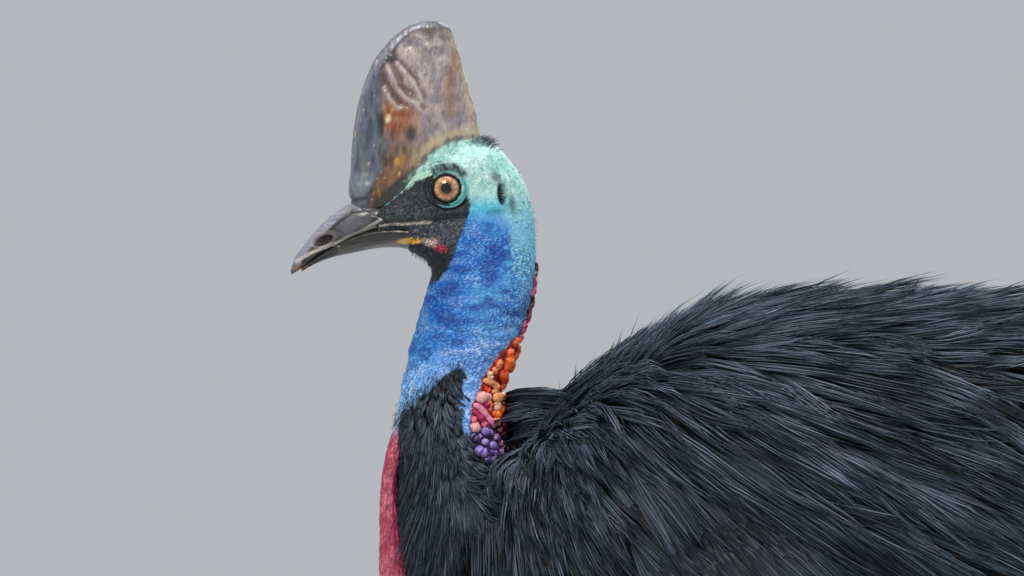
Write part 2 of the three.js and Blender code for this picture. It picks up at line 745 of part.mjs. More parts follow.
function wingSolid(side) {
  const draw = seededDraw(23);
  const { x: stubX, y: stubY, z: stubZ, long, deep, high, slope } = wingAt;
  const stub = ellipsoid(stubX, side.y * stubY, stubZ, long, deep, high, slope, 10);
  const shafts = Array.from({ length: quills.count }, (_, i) => {
    const spread = i - (quills.count - 1) / 2;
    const reach = quills.length - quills.shorter * Math.abs(spread);
    const [rootX, rootY, rootZ] = quills.root;
    const stops = [0, 0.25, 0.6, 1].map((f) => {
      const x = rootX + quills.apart[0] * i + f * (reach * quills.back + spread * quills.fan[0]);
      const rise = spread * quills.fan[1] + quills.curl * f - reach * quills.down;
      const z = rootZ + quills.apart[1] * i + f * rise;
      const y = side.y * (rootY + quills.bow * Math.sin(Math.min(f, 0.8) * 2.2) - 8 * f);
      return stop(x, y, z, quills.radius * (1 - 0.75 * f));
    });
    return barSolid(stops, 4);
  });
  const coverts = [-0.9, -0.3, 0.3, 0.9].map((row) => {
    const length = coats.wing.length * (0.9 + 0.2 * draw());
    const way = Array.from({ length: combSteps + 1 }, (_, i) => {
      const f = i / combSteps;
      const x = wingAt.x - 34 + length * f * 0.8 + 8 * row;
      const z = wingAt.z + 22 * row - length * f * 0.6 + 14;
      const y = side.y * (wingAt.y + 10 + 10 * Math.sin(f * 2.4));
      const up = new THREE.Vector3(0, side.y, 0);
      return { at: new THREE.Vector3(x, y, z), up, ahead: new THREE.Vector3(0.8, 0, -0.6) };
    });
    return lockSolid(way, coats.wing, { lift: 0.7 + 0.2 * row });
  });
  return cut(join([stub, ...shafts, ...coverts]), torsoSolid(partGap));
}

// Legs
function legPlace(side, x, z) {
  const lean = side.y < 0 ? -stride : stride;
  return x + legBack + lean * (1 - THREE.MathUtils.clamp(z / 560, 0, 1));
}

function legStop(side, x, y, z, deep, wide) {
  return stop(legPlace(side, x, z), side.y * y, z, deep, wide);
}

const thighFoot = 392;
// The thigh from the body down: place along and across the bird, height, and half sizes along and across.
const thighRows = [
  [4, legSpread - 26, 690, 60, 40],
  [6, legSpread - 8, 640, 84, 56],
  [10, legSpread + 4, 590, 92, 64],
  [14, legSpread + 6, 540, 88, 64],
  [24, legSpread + 4, 490, 74, 57],
  [38, legSpread + 2, 445, 54, 45],
  [50, legSpread, 412, 38, 35],
  [56, legSpread, 385, 31, 29],
];

function thighCore(side) {
  return barSolid(thighRows.map(([x, y, z, deep, wide]) => legStop(side, x, y, z, deep, wide)), 14);
}

const thighCover = 545; // above this height the feathers of the flank lie over the thigh
function inThigh(at) {
  const side = sides[at.y < 0 ? 0 : 1];
  const share = (thighRows[0][2] - at.z) / (thighRows[0][2] - thighRows.at(-1)[2]);
  if (at.z > thighCover || share > 1) return false;
  const [x, y, , deep, wide] = readRow(thighRows, share);
  const along = (at.x - legPlace(side, x, at.z)) / (deep + 30);
  return along ** 2 + ((at.y - side.y * y) / (wide + 30)) ** 2 < 1;
}

function thighSolid(side) {
  const draw = seededDraw(41);
  const rows = [0.63, 0.8];
  const locks = rows.flatMap((share, row) => {
    const count = [7, 5][row];
    return Array.from({ length: count }, (_, k) => {
      const turn = ((k + row / 2) / count) * 2 * Math.PI;
      const length = coats.thigh.length * (0.9 + 0.2 * draw()) * (1 - 0.16 * row);
      const reach = length / (thighRows[0][2] - thighRows.at(-1)[2]);
      const steps = Array.from({ length: combSteps + 1 }, (_, i) => share + (reach * i) / combSteps);
      const way = steps.map((step) => thighPoint(side, step, turn));
      return lockSolid(way, coats.thigh, { lift: 0.8 + 0.3 * draw(), sway: (draw() - 0.5) * 10 });
    });
  });
  return cut(join([thighCore(side).intersect(level(thighFoot, 900)), ...locks]), torsoSolid(partGap));
}

// A place on the thigh's core, at a share of the way down and a turn round it, with its ways out and down.
function thighPoint(side, share, turn) {
  const [x, y, z, deep, wide] = readRow(thighRows, Math.min(share, 1));
  const past = Math.max(share - 1, 0) * (thighRows[0][2] - thighRows.at(-1)[2]);
  const up = new THREE.Vector3(Math.cos(turn), side.y * Math.sin(turn), 0);
  const at = new THREE.Vector3(legPlace(side, x, z), side.y * y, z - past);
  at.add(new THREE.Vector3(up.x * deep, up.y * wide, 0));
  return { at, up, ahead: new THREE.Vector3(0, 0, -1) };
}

function shankSolid(side) {
  const stops = [
    legStop(side, 54, legSpread, thighFoot + 10, 27, 25),
    legStop(side, 61, legSpread, 362, 27, 25),
    legStop(side, 66, legSpread, 342, 31, 27),
    legStop(side, 67, legSpread, 326, 33, 28),
    legStop(side, 66, legSpread, tarsusTop - 10, 31, 27),
  ];
  return barSolid(stops, 14).intersect(level(tarsusTop + partGap, thighFoot - partGap));
}

// The tarsus from the hock down: place along the bird, height, and half sizes along and across.
const tarsusRows = [
  [67, tarsusTop + 10, 33, 28],
  [66, 306, 31, 27],
  [62, 288, 25, 22.5],
  [56, 262, 21, 19],
  [44, 190, 19.5, 18],
  [32, 115, 20, 19],
  [24, 70, 23, 23],
  [20, 44, 25, 27],
  [22, 20, 22, 25],
  [24, -3, 18, 20],
];
const tarsusScutes = { from: 0.34, to: 0.74, count: 8, lip: 0.004 };

// The front of the tarsus carries a row of plates: each lower edge stands out over the next plate.
function tarsusSolid(side, grow = 0) {
  const { from, to, count, lip } = tarsusScutes;
  const plain = (share) => ({ share, lift: 0 });
  const plates = Array.from({ length: count }, (_, i) => {
    const edge = from + ((to - from) * (i + 1)) / count;
    return [{ share: edge - lip, lift: scuteRise }, plain(edge)];
  });
  const cuts = [...[0, 0.11, 0.22, from].map(plain), ...plates.flat(), ...[0.84, 0.93, 1].map(plain)];
  const rings = cuts.map(({ share, lift }) => {
    const [x, z, deep, wide] = readRow(tarsusRows, share);
    return ringOf(10, (angle) => {
      const out = grow + lift * Math.max(0, -Math.cos(angle));
      return new THREE.Vector3(
        legPlace(side, x, z) + (deep + out) * Math.cos(angle),
        side.y * legSpread + (wide + out) * Math.sin(angle),
        z,
      );
    });
  });
  return solidOf(skinOver(rings)).intersect(level(0, tarsusTop));
}

// Toes and claws. The turn is the angle from straight ahead, positive towards the outer side.
const toes = [
  { name: "middle", turn: 4, length: 150, root: 21, tip: 12.5, claw: 48, clawRoot: 9.5, clawDrop: 8 },
  { name: "inner", turn: -23, length: 88, root: 18, tip: 12.5, claw: 112, clawRoot: 10.5, clawDrop: 7 },
  { name: "outer", turn: 36, length: 112, root: 18, tip: 11.5, claw: 42, clawRoot: 8.5, clawDrop: 7 },
];

function toeRun(side, toe) {
  const heading = THREE.MathUtils.degToRad(toe.turn);
  const ahead = new THREE.Vector3(-Math.cos(heading), side.y * Math.sin(heading), 0);
  const ankle = new THREE.Vector3(legPlace(side, 20, 30), side.y * legSpread, 0);
  return { ahead, ankle };
}

// A toe with a row of scutes on top: each plate stands out at its front edge and slips under the next.
const toeHeights = [30, 24, 18, 15, 13, 12]; // of the toe's middle, at the edge of each plate

function toeSolid(side, toe, grow = 0) {
  const { ahead, ankle } = toeRun(side, toe);
  const plates = toeHeights.length - 1;
  const cuts = Array.from({ length: plates }, (_, k) => [
    { place: k + 0.92, lift: scuteRise },
    { place: k + 1, lift: 0 },
  ]);
  const stops = [{ place: 0, lift: 0 }, ...cuts.flat()].map(({ place, lift }) => {
    const f = place / plates;
    const k = Math.min(Math.floor(place), plates - 1);
    const height = THREE.MathUtils.lerp(toeHeights[k], toeHeights[k + 1], place - k);
    const thick = toe.root + (toe.tip - toe.root) * Math.min(1, f * 1.25) + lift;
    const at = ankle.clone().addScaledVector(ahead, 8 + f * (toe.length - 8));
    return { at: at.setZ(Math.max(height, thick - 1.2)), deep: thick, wide: thick };
  });
  return barSolid(stops, 9, grow);
}

function clawSolid(side, toe) {
  const { ahead, ankle } = toeRun(side, toe);
  const stops = [0, 0.35, 0.7, 1].map((f) => {
    const at = ankle.clone().addScaledVector(ahead, toe.length - 5 + f * (toe.claw + 5));
    const radius = toe.clawRoot * (1 - f) ** 0.75 + 0.8;
    at.setZ(toe.tip + 1.5 - toe.clawDrop * f * f);
    return { at, deep: radius, wide: radius * 0.85 };
  });
  return barSolid(stops, 8);
}

// Assembly
const skins = {
  paleHorn: { color: 0x74706c, roughness: 0.42 },
  darkHorn: { color: 0x2b2a2c, roughness: 0.38 },
  casqueHorn: { color: 0x8a7263, roughness: 0.5 },
  blueSkin: { color: 0x3f86c8, roughness: 0.6 },
  redSkin: { color: 0xc33a50, roughness: 0.55 },
  plumage: { color: 0x15171c, roughness: 0.7 },
  legSkin: { color: 0x6f6e66, roughness: 0.65 },
  iris: { color: 0xc08a62, roughness: 0.08 },
};

const bird = new THREE.Group();

function place(name, skin, solid) {
  const finish = new THREE.MeshStandardMaterial({ metalness: 0, ...skins[skin] });
  const mesh = new THREE.Mesh(geometryOf(solid), finish);
  mesh.name = name;
  bird.add(mesh);
}

place("head", "blueSkin", headSolid());
place("casque", "casqueHorn", casqueSolid());
place("bill_upper", "darkHorn", upperBillSolid());
place("bill_lower", "darkHorn", lowerBillSolid());
place("neck_upper", "blueSkin", neckUpperSolid());
place("neck_lower", "plumage", cut(neckLowerSolid(), torsoSolid(partGap), neckUpperSolid(partGap)));
place("torso", "plumage", torsoSolid());

for (const side of sides) {
  place(`eye_${side.name}`, "iris", eyeBall(side, eyeRadius));
  place(`wattle_${side.name}`, "redSkin", wattleSolid(side));
  place(`wing_${side.name}`, "plumage", wingSolid(side));
  place(`thigh_${side.name}`, "plumage", thighSolid(side));
  place(`shank_${side.name}`, "legSkin", shankSolid(side));
  place(`tarsus_${side.name}`, "legSkin", tarsusSolid(side));
  const [middle, inner, outer] = toes.map((toe) =>
    cut(toeSolid(side, toe), ground(), tarsusSolid(side, partGap)),
  );
  const middleGrown = toeSolid(side, toes[0], partGap);
  place(`toe_middle_${side.name}`, "legSkin", middle);
  place(`toe_inner_${side.name}`, "legSkin", cut(inner, middleGrown));
  place(`toe_outer_${side.name}`, "legSkin", cut(outer, middleGrown));
  for (const toe of toes) {
    const claw = cut(clawSolid(side, toe), ground(), toeSolid(side, toe, partGap));
    place(`claw_${toe.name}_${side.name}`, "darkHorn", claw);
  }
}

const box = new THREE.Box3().setFromObject(bird);
bird.position.set(-(box.min.x + box.max.x) / 2, 0, 0);

export default bird;
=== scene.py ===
# A southern cassowary, life size, as a still museum model. The bird faces -X and stands on z = 0.
# Shapes are worked out in millimetres in the side view's own X and Z, and moved into the frame at the end.
import math
from functools import partial
import bpy
import numpy as np
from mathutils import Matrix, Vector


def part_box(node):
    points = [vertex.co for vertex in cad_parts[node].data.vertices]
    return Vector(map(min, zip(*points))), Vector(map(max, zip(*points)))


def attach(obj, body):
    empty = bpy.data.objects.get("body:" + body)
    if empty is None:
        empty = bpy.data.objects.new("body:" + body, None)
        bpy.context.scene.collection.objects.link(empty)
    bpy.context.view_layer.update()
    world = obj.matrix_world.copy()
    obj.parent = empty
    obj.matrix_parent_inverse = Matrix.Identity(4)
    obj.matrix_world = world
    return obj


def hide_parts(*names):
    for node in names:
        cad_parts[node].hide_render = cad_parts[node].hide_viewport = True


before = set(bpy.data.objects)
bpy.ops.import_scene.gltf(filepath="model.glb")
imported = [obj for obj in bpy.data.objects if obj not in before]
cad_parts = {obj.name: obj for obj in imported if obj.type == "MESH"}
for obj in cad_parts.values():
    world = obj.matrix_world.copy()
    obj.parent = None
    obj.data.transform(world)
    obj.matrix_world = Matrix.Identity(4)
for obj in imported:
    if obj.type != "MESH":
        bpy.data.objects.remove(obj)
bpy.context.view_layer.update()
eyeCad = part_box("eye_left")

sideView = {
    "middleColumn": 900, "middleRow": 278,  # the picture place that lies at X 0 and 1 m up
    "pixel": 0.95,                          # millimetres for one pixel at the bird
    "eyeX": -430.4,                         # the eye's X before the bird is centred
}
shiftX = (eyeCad[0].x + eyeCad[1].x) * 500 - sideView["eyeX"]
sides = {"left": -1, "right": 1}
fullTurn = 2 * math.pi

# the head and neck in side view: throat x, z, then crown x, z, half width, lift of the widest place
headRows = np.array([
    [-492, 1034, -503, 1064, 19, 0], [-478, 1029, -480, 1081, 25, 0.1],
    [-468, 1026, -456, 1103, 30.5, 0.18], [-459, 1022, -432, 1119, 34.5, 0.2],
    [-452, 1018, -408, 1130, 36.5, 0.2], [-448, 1014, -388, 1128, 37.5, 0.16],
    [-446, 1010, -371, 1112, 37.5, 0.1], [-445, 1006, -356, 1089, 37.5, 0.05],
    [-446, 1000, -348, 1061, 37.5, 0], [-449, 990, -346, 1027, 38, 0], [-453, 977, -348, 989, 38.5, 0],
    [-462, 947, -359, 947, 39.5, 0], [-471, 918, -371, 914, 40, 0], [-476, 900, -378, 896, 41, 0]])
# the rest of the body the same way, from the base of the bare neck to the rump, without the plumage
bodyRows = np.array([
    [-476, 900, -378, 896, 41, 0], [-480, 850, -375, 860, 46, 0], [-471, 785, -365, 830, 60, 0],
    [-454, 725, -338, 854, 86, 0.05], [-432, 662, -293, 892, 112, 0.08], [-393, 598, -240, 930, 138, 0.08],
    [-328, 538, -180, 962, 158, 0.05], [-230, 498, -108, 975, 170, 0], [-110, 484, -20, 978, 177, -0.03],
    [20, 480, 80, 975, 180, -0.05], [150, 486, 185, 966, 176, -0.05], [260, 502, 284, 938, 160, -0.03],
    [348, 528, 372, 880, 134, 0], [416, 564, 436, 796, 98, 0], [460, 604, 475, 718, 56, 0],
    [483, 648, 488, 670, 10, 0]])
birdRows = np.vstack([headRows, bodyRows[1:]])
lastRow = len(birdRows) - 1
neckFoot = (len(headRows) - 1) / lastRow  # the share of all rows at the base of the bare neck
eyeAt = {"x": -430.4, "y": 21, "z": 1084.6, "radius": 16.5}
earAt = {"x": -377, "z": 1079, "long": 9.8, "wide": 3.2, "turn": 0.15}


# Turns an sRGB hex colour into linear numbers: the share over 12.92 when dark, a power of 2.4 above.
def toLinear(code):
    share = np.array([int(code[k:k + 2], 16) for k in (1, 3, 5)]) / 255
    return np.where(share <= 0.04045, share / 12.92, ((share + 0.055) / 1.055) ** 2.4)


# The hex colours of a dictionary as linear ones, by their names.
def tonesOf(named):
    return {name: toLinear(code) for name, code in named.items() if isinstance(code, str)}


# Goes from 0 at low to 1 at high along 3u^2 - 2u^3.
def ease(low, high, value):
    u = np.clip((value - low) / (high - low), 0, 1)
    return u * u * (3 - 2 * u)


# Blends two colours or vectors by a share for each place.
def blendBy(first, second, share):
    share = np.asarray(share)[..., None]
    return first * (1 - share) + second * share


# Lays tones over a colour one after another, each by its share: a layer names its tone or is a colour itself.
def layered(colour, tone, *layers):
    for layer, share in layers:
        colour = blendBy(colour, tone[layer] if isinstance(layer, str) else layer, share)
    return colour


def unit(vectors):
    return vectors / np.maximum(np.linalg.norm(vectors, axis=-1, keepdims=True), 1e-9)


# The way nearest to the first one that lies square to the other.
def squareTo(first, other):
    return unit(first - other * np.sum(first * other, -1, keepdims=True))


# Even turns once round.
def turnsRound(count):
    return np.arange(count) * fullTurn / count


# How far a turn is from another one, from 0 to pi.
def turnApart(turn, other):
    return np.abs((turn - other + math.pi) % fullTurn - math.pi)


# Picture places, given as column, row, column, row, as X and Z in millimetres.
def seen(places):
    places = np.reshape(places, (-1, 2))
    x = (places[:, 0] - sideView["middleColumn"]) * sideView["pixel"]
    z = 1000 + (sideView["middleRow"] - places[:, 1]) * sideView["pixel"]
    return np.stack([x, z], -1)


# A dictionary of picture lines, or of lists of such lines, in millimetres.
def seenLines(named):
    return {name: [seen(part) for part in line] if isinstance(line[0], list) else seen(line)
            for name, line in named.items()}


# A random number from 0 to 1 for each lattice corner: whole numbers are multiplied and mixed bit by bit.
def latticeDraw(corner, seed):
    corner = corner.astype(np.int64)
    mixed = corner[..., 0] * 374761393 + corner[..., 1] * 668265263 + corner[..., 2] * 2246822519
    mixed = mixed + seed * 3266489917
    mixed = (mixed ^ (mixed >> 13)) * 1274126177 & 0xFFFFFFFF
    mixed = (mixed ^ (mixed >> 15)) * 2654435761 & 0xFFFFFFFF
    return ((mixed ^ (mixed >> 16)) & 0xFFFFFF) / 0xFFFFFF


# Soft noise from 0 to 1: the draws at the eight corners round a place, eased from one to the next.
def softNoise(places, size, seed=0):
    scaled = places / np.asarray(size)
    corner = np.floor(scaled)
    part = scaled - corner
    part = part * part * (3 - 2 * part)
    total = 0
    for k in range(8):
        step = np.array([k & 1, k >> 1 & 1, k >> 2 & 1])
        weight = np.prod(np.where(step == 1, part, 1 - part), axis=-1)
        total = total + weight * latticeDraw(corner + step, seed)
    return total


# Cells: one random point in each lattice cube. Gives how much nearer the nearest point is than the next one.
def cellNoise(places, size, seed=0):
    scaled = places / np.asarray(size)
    corner = np.floor(scaled)
    nearest = np.full(places.shape[:-1], 9.0)
    second = nearest.copy()
    for k in range(27):
        step = np.array([k % 3, k // 3 % 3, k // 9]) - 1
        cube = corner + step
        point = cube + np.stack([latticeDraw(cube, seed + axis) for axis in range(3)], -1)
        far = np.linalg.norm(point - scaled, axis=-1)
        second = np.minimum(second, np.maximum(far, nearest))
        nearest = np.minimum(nearest, far)
    return second - nearest


# The round top of a cell: 0 at its edge and 1 from there on in, along a parabola.
def dome(cells, edge=0.4):
    return 1 - (1 - np.clip(cells / edge, 0, 1)) ** 2


# The distance in side view from each place to a line through points.
def lineDistance(x, z, line):
    best = np.full(np.shape(x), 1e9)
    for (ax, az), (bx, bz) in zip(line, line[1:]):
        along = ((x - ax) * (bx - ax) + (z - az) * (bz - az)) / ((bx - ax) ** 2 + (bz - az) ** 2)
        along = np.clip(along, 0, 1)
        best = np.minimum(best, np.hypot(x - ax - along * (bx - ax), z - az - along * (bz - az)))
    return best


# 1 on a line in side view, falling off to the sides like a bell of that half width.
def nearLine(x, z, line, width):
    return np.exp(-(lineDistance(x, z, line) / width) ** 2)


# The same for a named line of a set, moved along x and z.
def nearMark(x, z, lines, name, width, moved=(0, 0)):
    return nearLine(x, z, lines[name] + moved, width)


# The x and z of places, with spot and nearMark ready for them and for a set of lines.
def inSideView(places, lines):
    x, z = places[..., 0], places[..., 2]
    return x, z, partial(spot, x, z), partial(nearMark, x, z, lines)


# The X of a line that runs down in side view, at each height.
def lineX(line, z):
    return np.interp(-z, -line[:, 1], line[:, 0])


# How far a place lies inside an outline in side view, and below 0 outside: the distance to its edge, with its
# sign from how many edges lie to the right.
def insideBy(x, z, outline):
    closed = np.vstack([outline, outline[:1]])
    crossings = np.zeros(np.shape(x), int)
    for (ax, az), (bx, bz) in zip(closed, closed[1:]):
        if az != bz:
            crossings += ((az > z) != (bz > z)) & (x < ax + (bx - ax) * (z - az) / (bz - az))
    return np.where(crossings % 2 == 1, 1, -1) * lineDistance(x, z, closed)


# 1 inside a turned ellipse round a picture place, with an edge that is soft over a share of its size.
def spot(x, z, column, row, halfWide, halfHigh, turn=0.0, soft=0.5):
    centreX, centreZ = seen([column, row])[0]
    across = (x - centreX) * math.cos(turn) + (z - centreZ) * math.sin(turn)
    up = (z - centreZ) * math.cos(turn) - (x - centreX) * math.sin(turn)
    pixel = sideView["pixel"]
    return 1 - ease(1 - soft, 1 + soft, np.hypot(across / (halfWide * pixel), up / (halfHigh * pixel)))


# A row between the rows of a table: each column follows the cubic through the four rows around it.
def readRows(table, share):
    place = np.clip(share, 0, 1) * (len(table) - 1)
    start = np.minimum(place.astype(int), len(table) - 2)
    part = (place - start)[..., None]
    a, b, c, d = (table[np.clip(start + k, 0, len(table) - 1)] for k in (-1, 0, 1, 2))
    return (2 * b + (c - a) * part + (2 * a - 5 * b + 4 * c - d) * part**2
            + (3 * b - a - 3 * c + d) * part**3) / 2


# A place on a form given by rows: the middle of the row, plus a swing along it by the cosine of the angle,
# and the half width times its sine. Angle 0 is the crown, pi the throat, and +Y lies between them.
def formPlace(table, share, angle):
    lowX, lowZ, highX, highZ, half, lift = np.moveaxis(readRows(table, share), -1, 0)
    swing = (np.cos(angle) + lift * np.sin(angle) ** 2) / 2
    return np.stack([(lowX + highX) / 2 + (highX - lowX) * swing, half * np.sin(angle),
                     (lowZ + highZ) / 2 + (highZ - lowZ) * swing], -1)


# The way out of a form at a place: the cross product of the ways along and round it, turned from its middle.
def formOut(table, share, angle):
    tiny = 1e-3
    back = np.where(np.asarray(share) > 0.5, -tiny, tiny)
    here = formPlace(table, share, angle)
    alongForm = (formPlace(table, share + back, angle) - here) / back[..., None]
    roundForm = (formPlace(table, share, angle + tiny) - here) / tiny
    out = unit(np.cross(alongForm, roundForm))
    inner = (formPlace(table, share, angle * 0) + formPlace(table, share, angle * 0 + math.pi)) / 2
    flip = np.sum(out * (inner - here), -1) > 0
    return here, np.where(flip[..., None], -out, out), alongForm, roundForm


# The share and angle on the +Y side of a form whose place is at x, z in side view: the nearest of a coarse
# grid, then steps that divide what is missing by how fast the place moves with share and angle.
def findOnSide(table, x, z, low=0.0, high=1.0):
    gridShare, gridAngle = np.meshgrid(np.linspace(low, high, 70), np.linspace(0.05, 3.09, 50), indexing="ij")
    grid = formPlace(table, gridShare, gridAngle).reshape(-1, 3)
    best = np.argmin((x.reshape(-1, 1) - grid[:, 0]) ** 2 + (z.reshape(-1, 1) - grid[:, 2]) ** 2, axis=1)
    share, angle = gridShare.reshape(-1)[best], gridAngle.reshape(-1)[best]
    for _ in range(6):
        here, _, alongForm, roundForm = formOut(table, share, angle)
        missX, missZ = x.reshape(-1) - here[:, 0], z.reshape(-1) - here[:, 2]
        spread = alongForm[:, 0] * roundForm[:, 2] - alongForm[:, 2] * roundForm[:, 0]
        spread = np.where(np.abs(spread) < 40, 40 * np.sign(spread + 1e-9), spread)
        shareStep = (missX * roundForm[:, 2] - missZ * roundForm[:, 0]) / spread
        angleStep = (missZ * alongForm[:, 0] - missX * alongForm[:, 2]) / spread
        share = np.clip(share + np.clip(shareStep, -0.02, 0.02), 0, 1)
        angle = np.clip(angle + np.clip(angleStep, -0.1, 0.1), 0, 3.14)
    return share.reshape(x.shape), angle.reshape(x.shape)


# Faces of a grid of places, closed round its second way, with a fan to a pole at either end.
def gridFaces(rows, around):
    i, k = np.meshgrid(np.arange(rows - 1), np.arange(around), indexing="ij")
    k2 = (k + 1) % around
    quads = np.stack([i * around + k, i * around + k2, (i + 1) * around + k2, (i + 1) * around + k], -1)
    k = np.arange(around)
    k2 = (k + 1) % around
    last = (rows - 1) * around
    first = np.stack([k2, k, np.full(around, rows * around)], -1)
    end = np.stack([last + k, last + k2, np.full(around, rows * around + 1)], -1)
    return [quads.reshape(-1, 4), np.vstack([first, end])]


# Grid places with a pole added at the middle of each end.
def withPoles(grid):
    return np.vstack([grid.reshape(-1, 3), grid[0].mean(0), grid[-1].mean(0)])


# A closed grid with its faces and colours, ready to be joined with others.
def gridPart(grid, colour):
    colour = np.broadcast_to(colour, grid.shape)
    return withPoles(grid), gridFaces(*grid.shape[:2]), withPoles(colour)


# The places of a form given by rows, on even turns round it at each share.
def loft(table, shares, around):
    return formPlace(table, *np.meshgrid(shares, turnsRound(around), indexing="ij"))


# Ways out of a closed grid, from the differences to its neighbours along and round.
def gridOut(grid):
    alongGrid = np.gradient(grid, axis=0)
    roundGrid = np.roll(grid, -1, 1) - np.roll(grid, 1, 1)
    out = unit(np.cross(alongGrid, roundGrid))
    flip = np.sum(out * (grid - grid.mean(1, keepdims=True))) < 0
    return -out if flip else out


# Makes a piece of places in millimetres. Faces are turned outward by the sign of the volume they hold.
def makePiece(name, places, faces, colour, finish, slot, replaced=(), uv=None, wrinkleShadeGlint=None):
    triangles = np.vstack([np.vstack([f[:, [0, k, k + 1]] for k in range(1, f.shape[1] - 1)]) for f in faces])
    corners = places[triangles] - places.mean(0)
    volume = np.sum(corners[:, 0] * np.cross(corners[:, 1], corners[:, 2]))
    if volume < 0:
        faces = [f[:, ::-1] for f in faces]
    mesh = bpy.data.meshes.new(name)
    mesh.vertices.add(len(places))
    mesh.vertices.foreach_set("co", ((places + [shiftX, 0, 0]) / 1000).astype(np.float32).ravel())
    loops = np.concatenate([f.ravel() for f in faces])
    sizes = np.concatenate([np.full(len(f), f.shape[1]) for f in faces])
    mesh.loops.add(len(loops))
    mesh.loops.foreach_set("vertex_index", loops.astype(np.int32))
    mesh.polygons.add(len(sizes))
    mesh.polygons.foreach_set("loop_start", np.concatenate([[0], np.cumsum(sizes)[:-1]]).astype(np.int32))
    mesh.polygons.foreach_set("use_smooth", np.ones(len(sizes), bool))
    tone = np.ones((len(places), 4), np.float32)
    tone[:, :3] = colour
    mesh.attributes.new("tone", "FLOAT_COLOR", "POINT").data.foreach_set("color", tone.ravel())
    if wrinkleShadeGlint is not None:
        values = wrinkleShadeGlint.astype(np.float32).ravel()
        mesh.attributes.new("wrinkleShadeGlint", "FLOAT", "POINT").data.foreach_set("value", values)
    if uv is not None:
        mesh.uv_layers.new(name="OFBake").data.foreach_set("uv", uv[loops].astype(np.float32).ravel())
    mesh.update(calc_edges=True)
    mesh.materials.append(finish)
    piece = bpy.data.objects.new(name, mesh)
    bpy.context.scene.collection.objects.link(piece)
    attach(piece, "root")
    if replaced:
        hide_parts(*replaced)
    print(name, len(triangles), "triangles")


# Several closed meshes as one: places after one another, and each face list moved on by those before.
def joinParts(parts):
    places, faces, tones, start = [], [], [], 0
    for part in parts:
        places.append(part[0])
        faces += [f + start for f in part[1]]
        tones.append(np.broadcast_to(part[2], part[0].shape))
        start += len(part[0])
    return np.vstack(places), faces, np.vstack(tones)


# Sets a node's inputs: a socket is linked, and any other value is written.
def setInputs(node, inputs):
    for name, value in inputs.items():
        if isinstance(value, bpy.types.NodeSocket):
            node.id_data.links.new(value, node.inputs[name])
        else:
            node.inputs[name].default_value = value


# Adds a node with its inputs and settings, and gives one of its outputs.
def addNode(tree, kind, output, inputs=(), **settings):
    node = tree.nodes.new("ShaderNode" + kind)
    for name, value in settings.items():
        setattr(node, name, value)
    setInputs(node, dict(inputs))
    return node.outputs[output]


# The same for arithmetic on its inputs in order: on numbers, or on vectors and colours.
def addMath(tree, operation, *inputs, kind="Math"):
    return addNode(tree, kind, 0, enumerate(inputs), operation=operation)


# Stretches a value from one range to another.
def addRange(tree, value, fromLow, fromHigh, toLow, toHigh):
    return addNode(tree, "MapRange", "Result", {"Value": value, "From Min": fromLow, "From Max": fromHigh,
                                                "To Min": toLow, "To Max": toHigh})


def newFinish(name, values):
    finish = bpy.data.materials.new(name)
    finish.use_nodes = True
    shader = finish.node_tree.nodes["Principled BSDF"]
    setInputs(shader, values)
    return finish, finish.node_tree, shader


# A finish whose colour is the piece's own tone, made uneven by noise, with a bump of cells and of noise.
def tonedFinish(name, values, grain):
    finish, tree, shader = newFinish(name, values)
    place = addNode(tree, "TexCoord", "Object")
    place = addNode(tree, "Mapping", "Vector", {"Scale": grain.get("stretch", (1, 1, 1)), "Vector": place})
    noise = addNode(tree, "TexNoise", "Fac",
                    {"Scale": 1000 / grain["patch"], "Detail": 5, "Roughness": 0.6, "Vector": place})
    cells = addNode(tree, "TexVoronoi", "Distance", {"Scale": 1000 / grain["cell"], "Vector": place},
                    feature="DISTANCE_TO_EDGE")
    tone = addNode(tree, "Attribute", "Color", attribute_name="tone")
    shade = addRange(tree, noise, 0.3, 0.7, 1 - grain["uneven"], 1 + grain["uneven"])
    crease = addRange(tree, cells, 0, 0.16, 1 - grain["crease"], 1)
    both = addMath(tree, "MULTIPLY", shade, crease)
    colour = addNode(tree, "VectorMath", "Vector", {"Vector": tone, "Scale": both}, operation="SCALE")
    rough = addRange(tree, noise, 0.3, 0.7, *grain["rough"])
    cellBump = addNode(tree, "Bump", "Normal",
                       {"Strength": grain["cellBump"], "Distance": grain["cell"] / 4000, "Height": crease})
    bump = addNode(tree, "Bump", "Normal", {"Strength": grain["noiseBump"], "Distance": grain["patch"] / 3000,
                                            "Height": noise, "Normal": cellBump})
    setInputs(shader, {"Base Color": colour, "Roughness": rough, "Normal": bump})
    return finish
